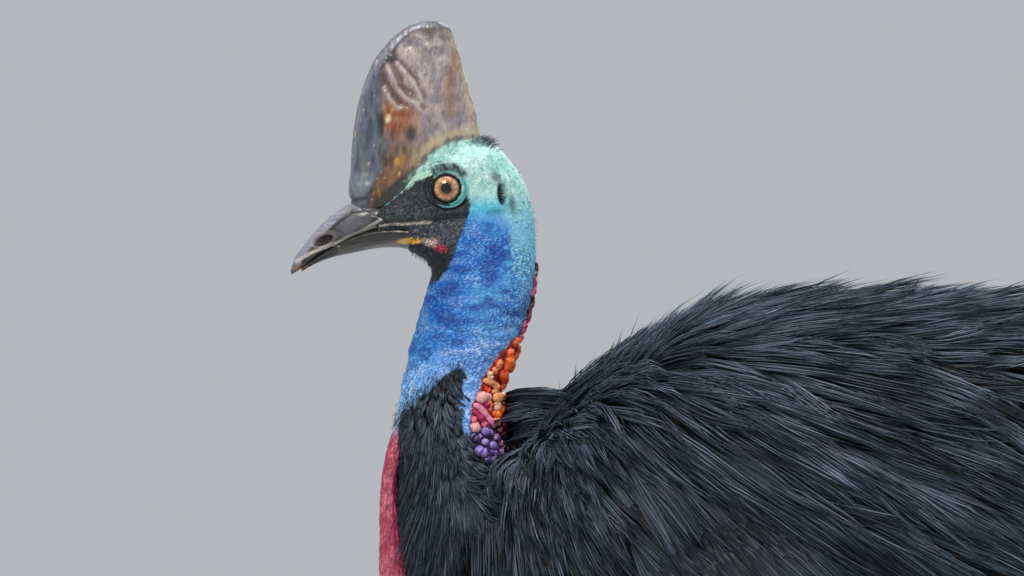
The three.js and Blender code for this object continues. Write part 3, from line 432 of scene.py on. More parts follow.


# Bare skin. Slanting long cells lie over small round ones. Where the piece's share for this is high, the
# creases between the long cells get painted shade and their tops are raised and lighter, with a painted
# highlight and glint.
def wrinkleShadeGlintSkin(name, values, size):
    finish, tree, shader = newFinish(name, values)
    addVector = partial(addMath, kind="VectorMath")
    place = addNode(tree, "TexCoord", "Object")
    tone = addNode(tree, "Attribute", "Color", attribute_name="tone")
    wrinkleShadeGlint = addNode(tree, "Attribute", "Fac", attribute_name="wrinkleShadeGlint")
    wave = addNode(tree, "TexNoise", "Color", {"Scale": 1000 / size["wave"], "Detail": 3, "Vector": place})
    bent = addVector(tree, "MULTIPLY_ADD", wave, (size["bend"] / 1000,) * 3, place)
    along, across = size["along"] / 1000, size["across"] / 1000
    slanted = addNode(tree, "Mapping", "Vector",
                      {"Rotation": (0, -math.radians(size["slant"]), 0), "Scale": (along, along, across),
                       "Vector": bent}, vector_type="TEXTURE")
    longCells = addNode(tree, "TexVoronoi", "Distance", {"Scale": 1, "Vector": slanted},
                        feature="DISTANCE_TO_EDGE")
    smallCells = addNode(tree, "TexVoronoi", "Distance", {"Scale": 1000 / size["small"], "Vector": bent},
                         feature="DISTANCE_TO_EDGE")
    broken = addNode(tree, "TexNoise", "Fac", {"Scale": 1000 / size["break"], "Detail": 2, "Vector": place})
    lifted = addMath(tree, "ADD", longCells, addRange(tree, broken, 0.4, 0.62, -0.5, 0.22))
    eased = addMath(tree, "SMOOTH_MAX", lifted, longCells, 0.1)
    tops = addRange(tree, eased, 0.03, 0.32, 0, 1)
    grains = addRange(tree, smallCells, 0, 0.22, 0, 1)
    # painted light by the share: the creases get painted shade, the tops a painted highlight, and a painted
    # glint is added where the tops are raised
    rise = tuple(top - crease for top, crease in zip(size["top"], size["crease"]))
    fall = tuple(crease - 1 for crease in size["crease"])
    swing = addVector(tree, "MULTIPLY_ADD", tops, rise, fall)
    shade = addVector(tree, "MULTIPLY_ADD", swing, wrinkleShadeGlint, (1, 1, 1))
    tinted = addVector(tree, "MULTIPLY", tone, shade)
    height = addMath(tree, "MULTIPLY", tops, wrinkleShadeGlint)
    lit = addVector(tree, "MULTIPLY_ADD", height, size["paintedGlint"], tinted)
    grainShade = addRange(tree, grains, 0, 1, 0.84, 1.05)
    colour = addNode(tree, "VectorMath", "Vector", {"Vector": lit, "Scale": grainShade}, operation="SCALE")
    rough = addRange(tree, grains, 0, 1, *size["rough"])
    longBump = addNode(tree, "Bump", "Normal", {"Strength": 0.6, "Distance": 0.0008, "Height": height})
    bump = addNode(tree, "Bump", "Normal",
                   {"Strength": 0.22, "Distance": 0.0004, "Height": grains, "Normal": longBump})
    setInputs(shader, {"Base Color": colour, "Roughness": rough, "Normal": bump})
    return finish


# bare skin: dry and finely pebbled, so it has broad soft highlights broken by slanting creases; its colour
# adds painted shade in the creases, a painted highlight on the raised tops and a painted glint over them
bareSkin = wrinkleShadeGlintSkin("wrinkledBareSkin", {"IOR": 1.4, "Specular IOR Level": 0.4}, {
    "wave": 5.5, "bend": 5.0, "along": 5.6, "across": 2.3, "slant": 24, "small": 1.5, "break": 3.5,
    "crease": (0.25, 0.42, 0.74), "top": (1.8, 1.3, 1.1), "paintedGlint": (0.03, 0.05, 0.05), "rough": (0.6, 0.42)})
# caruncles and wattles: soft moist skin, which shines on every bulb
softSkin = tonedFinish("moistFoldedSkin", {"IOR": 1.42, "Coat Weight": 0.3, "Coat Roughness": 0.22}, {
    "patch": 2.4, "cell": 1.7, "uneven": 0.16, "crease": 0.16, "rough": (0.3, 0.48),
    "cellBump": 0.25, "noiseBump": 0.2})
# the casque: worn keratin over a light core, fibrous up and down, polished by wear
casqueKeratin = tonedFinish("wornCasqueKeratin", {"IOR": 1.54, "Coat Weight": 0.2, "Coat Roughness": 0.18}, {
    "patch": 2.6, "cell": 5.5, "uneven": 0.2, "crease": 0.06, "rough": (0.26, 0.46),
    "cellBump": 0.1, "noiseBump": 0.2, "stretch": (1, 1, 0.3)})
# the bill: smooth dense keratin with a long gloss
billKeratin = tonedFinish("polishedBillKeratin", {"IOR": 1.56, "Coat Weight": 0.25, "Coat Roughness": 0.18}, {
    "patch": 1.8, "cell": 3.4, "uneven": 0.2, "crease": 0.05, "rough": (0.26, 0.42),
    "cellBump": 0.08, "noiseBump": 0.14, "stretch": (0.35, 1, 1)})
# feathers: long loose barbs of black keratin; each strand's tone has a painted blue-grey highlight along it,
# left out at the root, which so stays dark as in shade
featherKeratin = tonedFinish("looseBlackFeather", {
    "IOR": 1.5, "Specular IOR Level": 0.32, "Sheen Weight": 0.04, "Sheen Roughness": 0.4,
    "Sheen Tint": (0.45, 0.6, 0.85, 1)}, {
    "patch": 5.0, "cell": 9.0, "uneven": 0.25, "crease": 0.0, "rough": (0.34, 0.5),
    "cellBump": 0.0, "noiseBump": 0.08})
# the legs: dry scaly skin, matt between the scales
legSkin = tonedFinish("scaledLegSkin", {"IOR": 1.45}, {
    "patch": 2.0, "cell": 4.2, "uneven": 0.25, "crease": 0.45, "rough": (0.5, 0.72),
    "cellBump": 0.6, "noiseBump": 0.25})
# the claws and quills: dark keratin, dulled by wear
clawKeratin = tonedFinish("wornClawKeratin", {"IOR": 1.55}, {
    "patch": 2.0, "cell": 4.0, "uneven": 0.22, "crease": 0.05, "rough": (0.34, 0.55),
    "cellBump": 0.1, "noiseBump": 0.2, "stretch": (0.3, 0.3, 1)})
# the eye: a wet cornea, so the iris lies under a sharp clear gloss
wetEye = tonedFinish("wetEyeball", {"IOR": 1.38, "Coat Weight": 1.0, "Coat Roughness": 0.02}, {
    "patch": 0.9, "cell": 2.0, "uneven": 0.08, "crease": 0.0, "rough": (0.1, 0.16),
    "cellBump": 0.0, "noiseBump": 0.0})
print("finishes made")

skin = {
    "fine": 1.45, "middle": 3.4, "coarse": 12.0,  # spacing on bare skin, under the neck's and the body's coat
    "around": 180, "bareTo": 0.5,                 # places round it, share of the rows with bare skin
    "underCoat": 3.0,                             # how far it lies below the feathers' roots
    "crown": "#b4dacd", "crownMottle": "#74b3a8", "aqua": "#4fbcd6", "nape": "#7cc3d8", "neck": "#2a84d0",
    "neckRight": "#4f9bd8", "throat": "#1563b8", "lowerNeck": "#78b2ee", "lowerFront": "#8ccbf3",
    "shadeUnderCoat": "#0a0d11", "deep": "#15469a", "faded": "#9cc4f0", "sideCheek": "#2277c8",
    "bedTop": "#a8301c", "bedFoot": "#3a1c50",
}
face = {
    "black": "#1b2022", "lores": "#272c2d", "stipple": "#50585a", "mint": "#a9d3bb", "brow": "#14181a",
    "browShade": "#3f8a80", "crescent": "#4d9f9f", "line": "#101416", "jaw": "#282b2e", "granule": "#666a70",
    "yellow": "#dcae2e", "cream": "#d9cbb0", "red": "#b02c46", "gular": "#101317", "ear": "#0c0f11",
    "lip": "#aaa59b", "earRim": "#6fa9a8", "smudge": "#3b5158", "teal": "#1f8a96", "tuft": "#1c2224",
}
marks = seenLines({
    "napeEdge": [466, 206, 478, 211, 490, 214, 500, 216, 506, 224, 508, 240, 512, 262, 516, 290, 517, 320,
        512, 350, 503, 380],
    "caruncleBed": [517, 336, 521, 342, 514, 362, 507, 385, 506, 415, 506, 445, 516, 478, 506, 480, 486, 462,
        471, 446, 470, 424, 472, 404, 479, 393, 482, 378, 497, 357],
    "lip": [380, 226.5, 390, 225, 407.6, 224, 420, 223.4, 430.5, 222.5],
    "blackFace": [352, 215, 372, 209, 388, 203, 400, 193, 412, 185, 424, 178.5, 434, 175, 436, 180, 462, 200,
        469, 199, 471, 206, 470, 214, 466, 222, 462, 232, 457, 243, 452, 256, 449, 268, 441, 276, 432, 284,
        425, 280, 400, 276, 380, 262, 352, 252],
    "jaw": [404, 232, 420, 227, 440, 223.5, 462, 220, 467, 219, 464, 230, 456, 244, 448, 245, 430, 242,
        405, 240],
    "gular": [392, 250, 425, 247, 447, 254, 452, 256, 447, 270, 436, 282, 420, 281, 400, 272],
    "gape": [352, 236, 378, 228, 400, 226, 432, 221.5, 452, 218.5, 467, 217],
    "underEye": [429, 213, 445, 211, 460, 208],
    "eyeGroove": [433, 200, 441, 205, 450.5, 207.5, 460, 205, 469, 200],
    "crescent": [464, 181, 466, 190, 462, 199, 452, 205.5],
    "brow": [436, 173, 443, 169, 450, 167.5, 457, 169, 463, 174],
    "browStripe": [396, 188, 408, 181.5, 420, 176.5, 430, 174],
    "ramus": [358, 246, 385, 243, 414, 238, 432, 236],
    "casqueFoot": [352, 212, 370, 212, 384, 192, 400, 179, 417, 169, 429, 154, 443, 145, 455, 140, 480, 137],
    "featherFront": [462, 365, 449, 374, 431, 386, 413, 401, 404, 416, 399, 434, 396, 455, 394, 476, 388, 500,
        372, 520],
    "featherBack": [468, 366, 463, 380, 460, 401, 462, 420, 467, 434, 475, 446, 486, 460, 503, 474, 518, 484],
    "mantleFront": [506, 396, 507, 410, 506, 432, 508, 450, 511, 466, 515, 480, 515, 492],
    "mantleTop": [500, 400, 520, 397, 550, 388, 573, 370, 600, 350, 627, 334, 660, 314, 687, 296, 714, 283],
})


# The colour of the bare skin at each place: soft spots and edges in side view laid over one another.
def skinTone(places):
    x, z = places[..., 0], places[..., 2]
    tone = tonesOf(skin)
    drift = 10 * (softNoise(places, 14, 3) - 0.5)
    lowFront = 1 - ease(900, 952, z + 1.2 * drift - 0.4 * (x + 430))
    patches = softNoise(places, (15, 15, 7), 15)
    nape = ease(-3, 7, x - lineX(marks["napeEdge"], z) + 0.8 * drift) * (0.25 + 0.75 * ease(985, 1035, z))
    topEdge = np.interp(x, [-560, -430, -405, -390, -372, -340], [1056, 1060, 1058, 1059, 1062, 1056])
    mottle = 0.6 * ease(0.4, 0.7, softNoise(places, (3, 3, 2), 7))
    mottle = mottle + 0.4 * ease(0.4, 0.6, softNoise(places, 9, 8))
    crown = blendBy(tone["crown"], tone["crownMottle"], mottle * 0.8)
    bed = blendBy(tone["bedTop"], tone["bedFoot"], ease(874, 852, z))
    return layered(
        tone["neck"], tone,
        ("neckRight", ease(-425, -388, x + drift) * 0.9),
        ("throat", ease(-402, -436, x + 1.5 * drift) * ease(925, 985, z)),
        ("sideCheek", spot(x, z, 486, 250, 24, 30, 0, 0.6) * 0.8),
        ("lowerNeck", lowFront * 0.9),
        ("lowerFront", lowFront * ease(-445, -480, x) * 0.7),
        ("deep", ease(0.52, 0.75, patches) * (0.75 - 0.35 * lowFront) * ease(905, 930, z)),
        ("faded", ease(0.46, 0.25, patches) * (0.2 + 0.4 * lowFront)),
        ("nape", nape * 0.95),
        ("aqua", ease(-5, 9, z - topEdge + 0.9 * drift)),
        (crown, ease(5, 24, z - topEdge + 0.8 * drift)),
        (crown, ease(-386, -358, x) * ease(1046, 1066, z) * 0.6),
        (bed, ease(-1.5, 1.5, insideBy(x, z, marks["caruncleBed"]))))


# Marks of the head on top of that: the black face and its stipple, brow and stripe, the lines round the eye,
# the jaw's grey granules, the yellow, cream and red patches under it, and the ear.
def faceTone(places, colour):
    x, z, at, near = inSideView(places, marks)
    fine = softNoise(places, 3.2, 5) - 0.5
    speckle = ease(0.58, 0.74, softNoise(places, 1.9, 9))
    scattered = at(436, 164, 24, 8, 0.5, 0.6) * speckle * 0.8
    scattered = np.maximum(scattered, near("casqueFoot", 4, (0, -3)) * speckle * ease(-510, -500, x))
    dark = ease(-1.6, 1.6, insideBy(x, z, marks["blackFace"]) + 4 * fine)
    stippled = at(412, 205, 26, 17, 0.3, 0.5)
    hairs = ease(0.3, 0.62, softNoise(places, (1.3, 2, 2.2), 19))
    brow = np.minimum(near("brow", 3.6) * (1.3 + 0.8 * fine), 1)
    jaw = ease(-1.5, 1.5, insideBy(x, z, marks["jaw"]) + 2 * fine)
    granules = dome(cellNoise(places, (2.6, 2.6, 2.0), 13))
    smudge = np.maximum(at(496.5, 178, 4.5, 7, 0.5, 0.7), at(512, 205, 3.5, 10, 0.2, 0.7))
    smudge = np.maximum(smudge, at(513, 184, 3.5, 5, 0, 0.7) * 0.5)
    rim = np.hypot((x - earAt["x"]) / (earAt["wide"] + 2.4), (z - earAt["z"]) / (earAt["long"] + 2))
    return layered(
        colour, tonesOf(face),
        ("brow", scattered),
        ("black", dark),
        ("lores", dark * stippled),
        ("stipple", dark * stippled * speckle * 0.5),
        ("mint", ease(0.25, 0.6, near("browStripe", 2.7)) * (1 - 0.75 * speckle)),
        ("browShade", near("brow", 1.6, (0, -2.6)) * 0.85),
        ("brow", brow * (0.62 + 0.34 * hairs)),
        ("crescent", ease(0.2, 0.8, near("crescent", 2.4)) * 0.8),
        ("line", ease(0.3, 0.8, near("eyeGroove", 1.2))),
        ("line", ease(0.3, 0.8, near("underEye", 0.9)) * 0.8),
        ("jaw", jaw),
        ("granule", jaw * ease(0.35, 0.9, granules) * 0.75),
        ("gular", ease(-2, 2, insideBy(x, z, marks["gular"]) + 3 * fine)),
        ("yellow", at(412, 241.2, 14, 3.2, 0.03, 0.3)),
        ("cream", at(431, 242.6, 9, 3.6, -0.15, 0.4) * 0.9),
        ("red", at(441, 248, 7.5, 4.2, -0.25, 0.4) * (0.75 + 0.4 * fine)),
        ("line", ease(0.3, 0.8, near("gape", 1.2)) * ease(-450, -442, x)),
        ("lip", ease(0.3, 0.8, near("lip", 1.7)) * 0.85),
        ("smudge", smudge * 0.75),
        ("teal", at(495, 212, 9, 3.6, 0.1, 0.7) * 0.8),
        ("earRim", np.exp(-((rim - 1.1) / 0.22) ** 2) * 0.35),
        ("ear", at(501.4, 194.8, 4.2, 11, earAt["turn"], 0.25)),
        ("tuft", at(479, 141, 16, 5, -0.1, 0.6) * 0.85))


# How far the skin stands out: folds and cells on the neck; brow, lores, cheek, mouth and ear on the head.
def skinRelief(places):
    x, z, at, near = inSideView(places, marks)
    onNeck = 1 - ease(1036, 1066, z + 0.5 * (x + 400))
    warp = np.stack([softNoise(places, 13, seed) - 0.5 for seed in (21, 22, 23)], -1) * 9
    tilt = places + warp
    tilt[..., 2] -= 0.45 * (x + 420)
    cells = dome(cellNoise(tilt, (6.4, 6.4, 3.4), 31), 0.42)
    small = dome(cellNoise(places + 0.6 * warp, (3.6, 3.6, 2.8), 37))
    folds = np.sin((z + 0.35 * x + 26 * softNoise(places, 30, 41)) * fullTurn / 13)
    sags = np.sin((z - 0.1 * x + 40 * softNoise(places, 50, 43)) * fullTurn / 31)
    low = ease(1000, 930, z)
    relief = onNeck * (0.5 * cells + 0.2 * small + 0.4 * folds * (0.3 + 0.7 * low) + 0.4 * sags * low - 0.5)
    relief += (1 - onNeck) * (0.26 * small + 0.2 * cells - 0.3)
    fromEye = np.hypot(x - eyeAt["x"], z - eyeAt["z"])
    relief += 2.4 * near("brow", 4.5, (0, 2.4)) * ease(11, 16, fromEye)
    relief -= 2.2 * at(418, 198, 18, 12, 0.5, 0.7)
    relief -= 1.3 * np.exp(-((fromEye - 20.5) / 2.6) ** 2) * ease(1096, 1080, z)
    relief += 1.0 * near("gape", 3.5, (4, 5)) - 1.5 * (near("gape", 1.0) * ease(-450, -442, x))
    relief += 0.9 * near("gape", 2.0, (0, -3)) + 0.9 * near("ramus", 2.2)
    granules = dome(cellNoise(places, (2.6, 2.6, 2.0), 13))
    relief += 0.5 * ease(-2, 2, insideBy(x, z, marks["jaw"])) * (granules + 0.6)
    relief -= 0.5 * near("eyeGroove", 1.1)
    relief += 1.1 * at(441, 247.6, 9, 5, -0.25, 0.6) + 0.7 * at(412, 241.2, 14, 3.4, 0.03, 0.5)
    rim = np.hypot((x - earAt["x"]) / (earAt["wide"] + 2), (z - earAt["z"]) / (earAt["long"] + 2))
    relief += 0.6 * np.exp(-((rim - 1.2) / 0.3) ** 2) - 7 * (1 - ease(0.4, 0.95, rim))
    relief += 1.4 * near("casqueFoot", 4, (3, -4)) * ease(-500, -470, x)
    return relief, onNeck


# 1 where feathers cover the skin and 0 where it is bare, in side view: behind the feathers' front edge on the
# neck and before the caruncles, and everywhere on the body.
def coatShare(places, soft=3.0):
    x, z = places[..., 0], places[..., 2]
    front = lineX(marks["featherFront"], z)
    back = np.where(z < 808, 1e3, lineX(marks["featherBack"], z))
    onNeck = ease(-soft, soft, x - front) * ease(-soft, soft, back - x) * ease(917, 911, z)
    front = np.where(z < 770, -1e3, front)
    onNeck = np.maximum(onNeck, ease(-soft, soft, x - front) * ease(810, 800, z))
    behind = ease(-372, -366, x) * np.maximum(ease(905, 895, z), ease(-340, -332, x))
    return np.maximum(onNeck, behind)


# The skin: one closed form from the bill to the rump. Its rows are spaced evenly along the longest of four
# lines, closely on the bare skin. It is sunk under the coat, at the bill's horn and behind the eyes.
def buildSkin():
    dense = np.linspace(0, 1, 4001)
    step = np.zeros(4001)
    for angle in (0.0, 1.2, 1.9, math.pi):
        line = formPlace(birdRows, dense, np.full(4001, angle))
        step[1:] = np.maximum(step[1:], np.linalg.norm(np.diff(line, axis=0), axis=1))
    fine, middle, coarse = skin["fine"], skin["middle"], skin["coarse"]
    spacing = fine + (middle - fine) * ease(skin["bareTo"] - 0.02, skin["bareTo"] + 0.02, dense)
    spacing = spacing + (coarse - middle) * ease(0.56, 0.66, dense)
    count = np.cumsum(step / spacing)
    shares = np.append(np.interp(np.arange(0, count[-1], 1), count, dense), 1)
    grid = loft(birdRows, shares, skin["around"])
    out = gridOut(grid)
    relief, onNeck = skinRelief(grid)
    coated = coatShare(grid, 6)
    relief = relief * (1 - coated) - skin["underCoat"] * coated
    hornX = lineX(hornEdge, grid[..., 2])
    relief -= 2.5 * ease(hornX + 2, hornX - 3, grid[..., 0])
    # painted shade: under the coat the skin is painted near black, as the shade beneath the feathers, with a
    # ragged edge
    thick = ease(0.35, 0.8, coatShare(grid, 9) + 0.7 * (softNoise(grid, (2.2, 2.2, 4.5), 81) - 0.5))
    colour = layered(faceTone(grid, skinTone(grid)), tonesOf(skin), ("shadeUnderCoat", thick))
    smooth = ease(0.35, 0.75, softNoise(grid, (20, 20, 12), 85)) * 0.5
    wrinkleShadeGlint = (0.3 + 0.7 * onNeck) * (1 - smooth) * (1 - coated)
    grid = grid + out * relief[..., None]
    fromEye = np.hypot(grid[..., 0] - eyeAt["x"], grid[..., 2] - eyeAt["z"])
    ball = eyeAt["y"] + np.sqrt(np.maximum(eyeAt["radius"] ** 2 - fromEye**2, 0)) - 3
    off = np.abs(grid[..., 1])
    sunk = np.where(fromEye < 14.2, np.minimum(off, ball + 3 * ease(12.8, 14.2, fromEye)), off)
    grid[..., 1] = np.where(off > 12, np.sign(grid[..., 1]) * sunk, grid[..., 1])
    wrinkleShadeGlint = np.append(wrinkleShadeGlint.ravel(), [wrinkleShadeGlint[0].mean(), wrinkleShadeGlint[-1].mean()])
    makePiece("skin", *gridPart(grid, colour), bareSkin, "bare_skin",
              ("head", "neck_upper", "neck_lower", "torso"), wrinkleShadeGlint=wrinkleShadeGlint)


# Eyes: a ball with its poles on the sideways axis. The iris is a ring of warm fibres round a black pupil.
eye = {"pupil": 5.3, "rings": 64, "around": 90, "warm": "#b07a50", "pale": "#d0a07c",
       "inner": "#86561f", "rim": "#1a1210", "back": "#20242a", "black": "#040405"}


def buildEye(side):
    tone = tonesOf(eye)
    turns = math.pi * np.linspace(0.0013, 0.9987, eye["rings"]) ** 1.4
    t, r = np.meshgrid(turns, turnsRound(eye["around"]), indexing="ij")
    off = eyeAt["radius"] * np.sin(t)
    bulge = 1 + 0.035 * ease(13.5, 9, off) * (t < math.pi / 2)
    grid = np.stack([eyeAt["x"] + off * np.cos(r),
                     sides[side] * (eyeAt["y"] + eyeAt["radius"] * bulge * np.cos(t)),
                     eyeAt["z"] + off * np.sin(r)], -1)
    fibres = softNoise(np.stack([np.cos(r) * 11, np.sin(r) * 11, off * 0.22], -1), 1.0, 51)
    colour = layered(
        tone["warm"], tone,
        ("pale", ease(0.35, 0.7, fibres) * ease(6.5, 9.5, off)),
        ("inner", ease(8.6, 5.8, off) * 0.95),
        ("rim", 0.6 * ease(10.9, 12.0, off) + 0.4 * ease(11.9, 12.6, off)),
        ("black", ease(eye["pupil"] + 0.35, eye["pupil"] - 0.1, off)))
    colour = np.where((t > math.pi / 2)[..., None], tone["back"], colour)
    makePiece("eyeball_" + side, *gridPart(grid, colour), wetEye, "eye", ("eye_" + side,))


# Lids: a ring round the eye. Its profile runs from the edge that rests on the ball over a black margin and a
# fold of pale skin, then down into the skin. Each place is set by its distance from the eye's axis.
lids = {"around": 130, "steps": 38, "margin": "#0b0c0e", "under": "#101214", "crescent": face["crescent"],
        "profile": [(11.2, -1.6), (11.9, -0.2), (12.2, 0.9), (12.9, 1.7), (13.8, 1.9), (14.7, 1.2),
                    (15.5, 0.5), (16.6, 1.2), (17.9, 1.5), (19.2, 0.9), (20.3, -0.2), (21.4, -1.6),
                    (20.0, -4.5), (15.0, -5.5)]}


def buildLids(side):
    profile = np.array(lids["profile"])
    steps = np.append(np.linspace(0, len(profile) - 3, lids["steps"]), [len(profile) - 2, len(profile) - 1])
    radius = np.interp(steps, np.arange(len(profile)), profile[:, 0])
    height = np.interp(steps, np.arange(len(profile)), profile[:, 1])
    r, t = np.meshgrid(radius, turnsRound(lids["around"]), indexing="ij")
    stretch = 1 + 0.05 * np.cos(2 * (t - 2.6)) * ease(12, 20, r)
    x = eyeAt["x"] + r * stretch * np.cos(t)
    z = eyeAt["z"] + r * stretch * np.sin(t)
    base = formPlace(birdRows, *findOnSide(birdRows, x, z, 0.02, 0.35))[..., 1]
    ball = eyeAt["y"] + np.sqrt(np.maximum(eyeAt["radius"] ** 2 - r**2, 0))
    y = ball + 0.4 + height[:, None] + (base - ball - 0.4) * ease(12.5, 18.5, r)
    wrinkle = 0.35 * np.sin(t * 46 + 3 * np.sin(t * 5)) * np.exp(-((r - 18) / 2.2) ** 2)
    grid = np.stack([x, sides[side] * (y + wrinkle), z], -1)
    places = np.stack([x, y, z], -1)
    colour = layered(
        faceTone(places, skinTone(places)), tonesOf(lids),
        ("crescent", ease(1.45, 1.0, turnApart(t, -0.75)) * ease(14.2, 15.2, r) * ease(20.0, 18.6, r)),
        ("margin", ease(15.2, 14.2, r)),
        ("under", ease(1.2, 0.7, turnApart(t, -1.35)) * ease(18.2, 19.2, r)))
    rows, around = grid.shape[:2]
    k = np.arange(around)
    ahead = (k + 1) % around
    last = (rows - 1) * around
    faces = [np.vstack([gridFaces(rows, around)[0], np.stack([last + k, last + ahead, ahead, k], -1)])]
    makePiece("lids_" + side, grid.reshape(-1, 3), faces, colour.reshape(-1, 3), bareSkin, "bare_skin",
              wrinkleShadeGlint=np.full(rows * around, 0.15))


casque = {
    "rows": 180, "around": 190,
    "shield": "#555d69", "shieldBlue": "#545e76", "shieldGreen": "#616a6a", "shieldDark": "#2f343d",
    "shieldHighlight": "#8f919f", "shieldTop": "#625b5c", "lobe": "#6f7680", "lobeLine": "#26282c",
    "border": "#3b3840", "blot": "#2a2529", "pale": "#a09391", "lavender": "#80757b", "under": "#2f322e",
    "indigo": "#38333f", "maroon": "#503a44", "rust": "#8a4d2c", "rustBright": "#9a6238",
    "rustDark": "#4a2f24", "speck": "#dcc9a0", "ochre": "#c08f2c", "stripeBrown": "#6b4c33",
    "stripeDark": "#3b2a24", "stripeOchre": "#94703a", "rear": "#7f6044", "rearEdge": "#a39678",
    "tan": "#94836c", "cream": "#aca07e", "foot": "#26221d", "fold": "#b3a8a6", "foldShade": "#5a3a2c",
    "topSpot": "#665757",
}
casqueRows = np.array([
    [-516, 1058, -392, 1112, 18, 0], [-522, 1072, -397, 1127, 18.5, 0], [-522, 1100, -401.5, 1150, 17, 0],
    [-519, 1142, -407.5, 1176, 14.5, 0], [-511.5, 1177, -413, 1194, 12.5, 0],
    [-501, 1204, -417.5, 1211, 10.5, 0], [-487, 1223, -421.5, 1226, 8.5, 0],
    [-470, 1237.5, -427, 1237, 6.5, 0], [-452, 1244.5, -437, 1243.5, 3.5, 0]])
casqueMarks = seenLines({
    "shieldEdge": [369, 196, 376, 182, 382, 171, 383, 157, 388, 146, 383, 136, 380, 115, 379, 102, 377, 81,
        381, 70, 389, 58, 400, 42, 412, 31, 427, 24, 436, 20],
    "folds": [[385, 63, 392, 77, 397, 88.5, 406, 99, 417, 105, 420, 111],
        [398, 65, 406, 75, 413.5, 83.5, 420, 97, 422, 102], [385, 90.6, 391, 101, 397, 108, 402, 108.5]],
    "faintFolds": [[410.5, 50, 417.6, 61, 420.7, 75, 424, 87.5], [428, 46, 437, 60, 438, 76],
        [441, 60, 436, 84, 428, 100]],
    "foldGaps": [[396, 68, 399, 74, 402, 80], [402, 85.5, 408, 90, 415.6, 94.7],
        [388, 84, 394, 94, 400, 102]],
    "rearBand": [455, 54, 454, 67, 450, 81, 450, 96, 452, 112],
    "rearEdge": [447, 30, 457, 52, 464, 78, 470, 104, 477, 132],
    "lobeLine": [347, 199, 356, 200.5, 366, 199, 374, 190],
    "front": [350, 190, 352.5, 160, 356, 128, 363, 92, 374, 66, 389, 46, 408, 31, 424, 24],
})


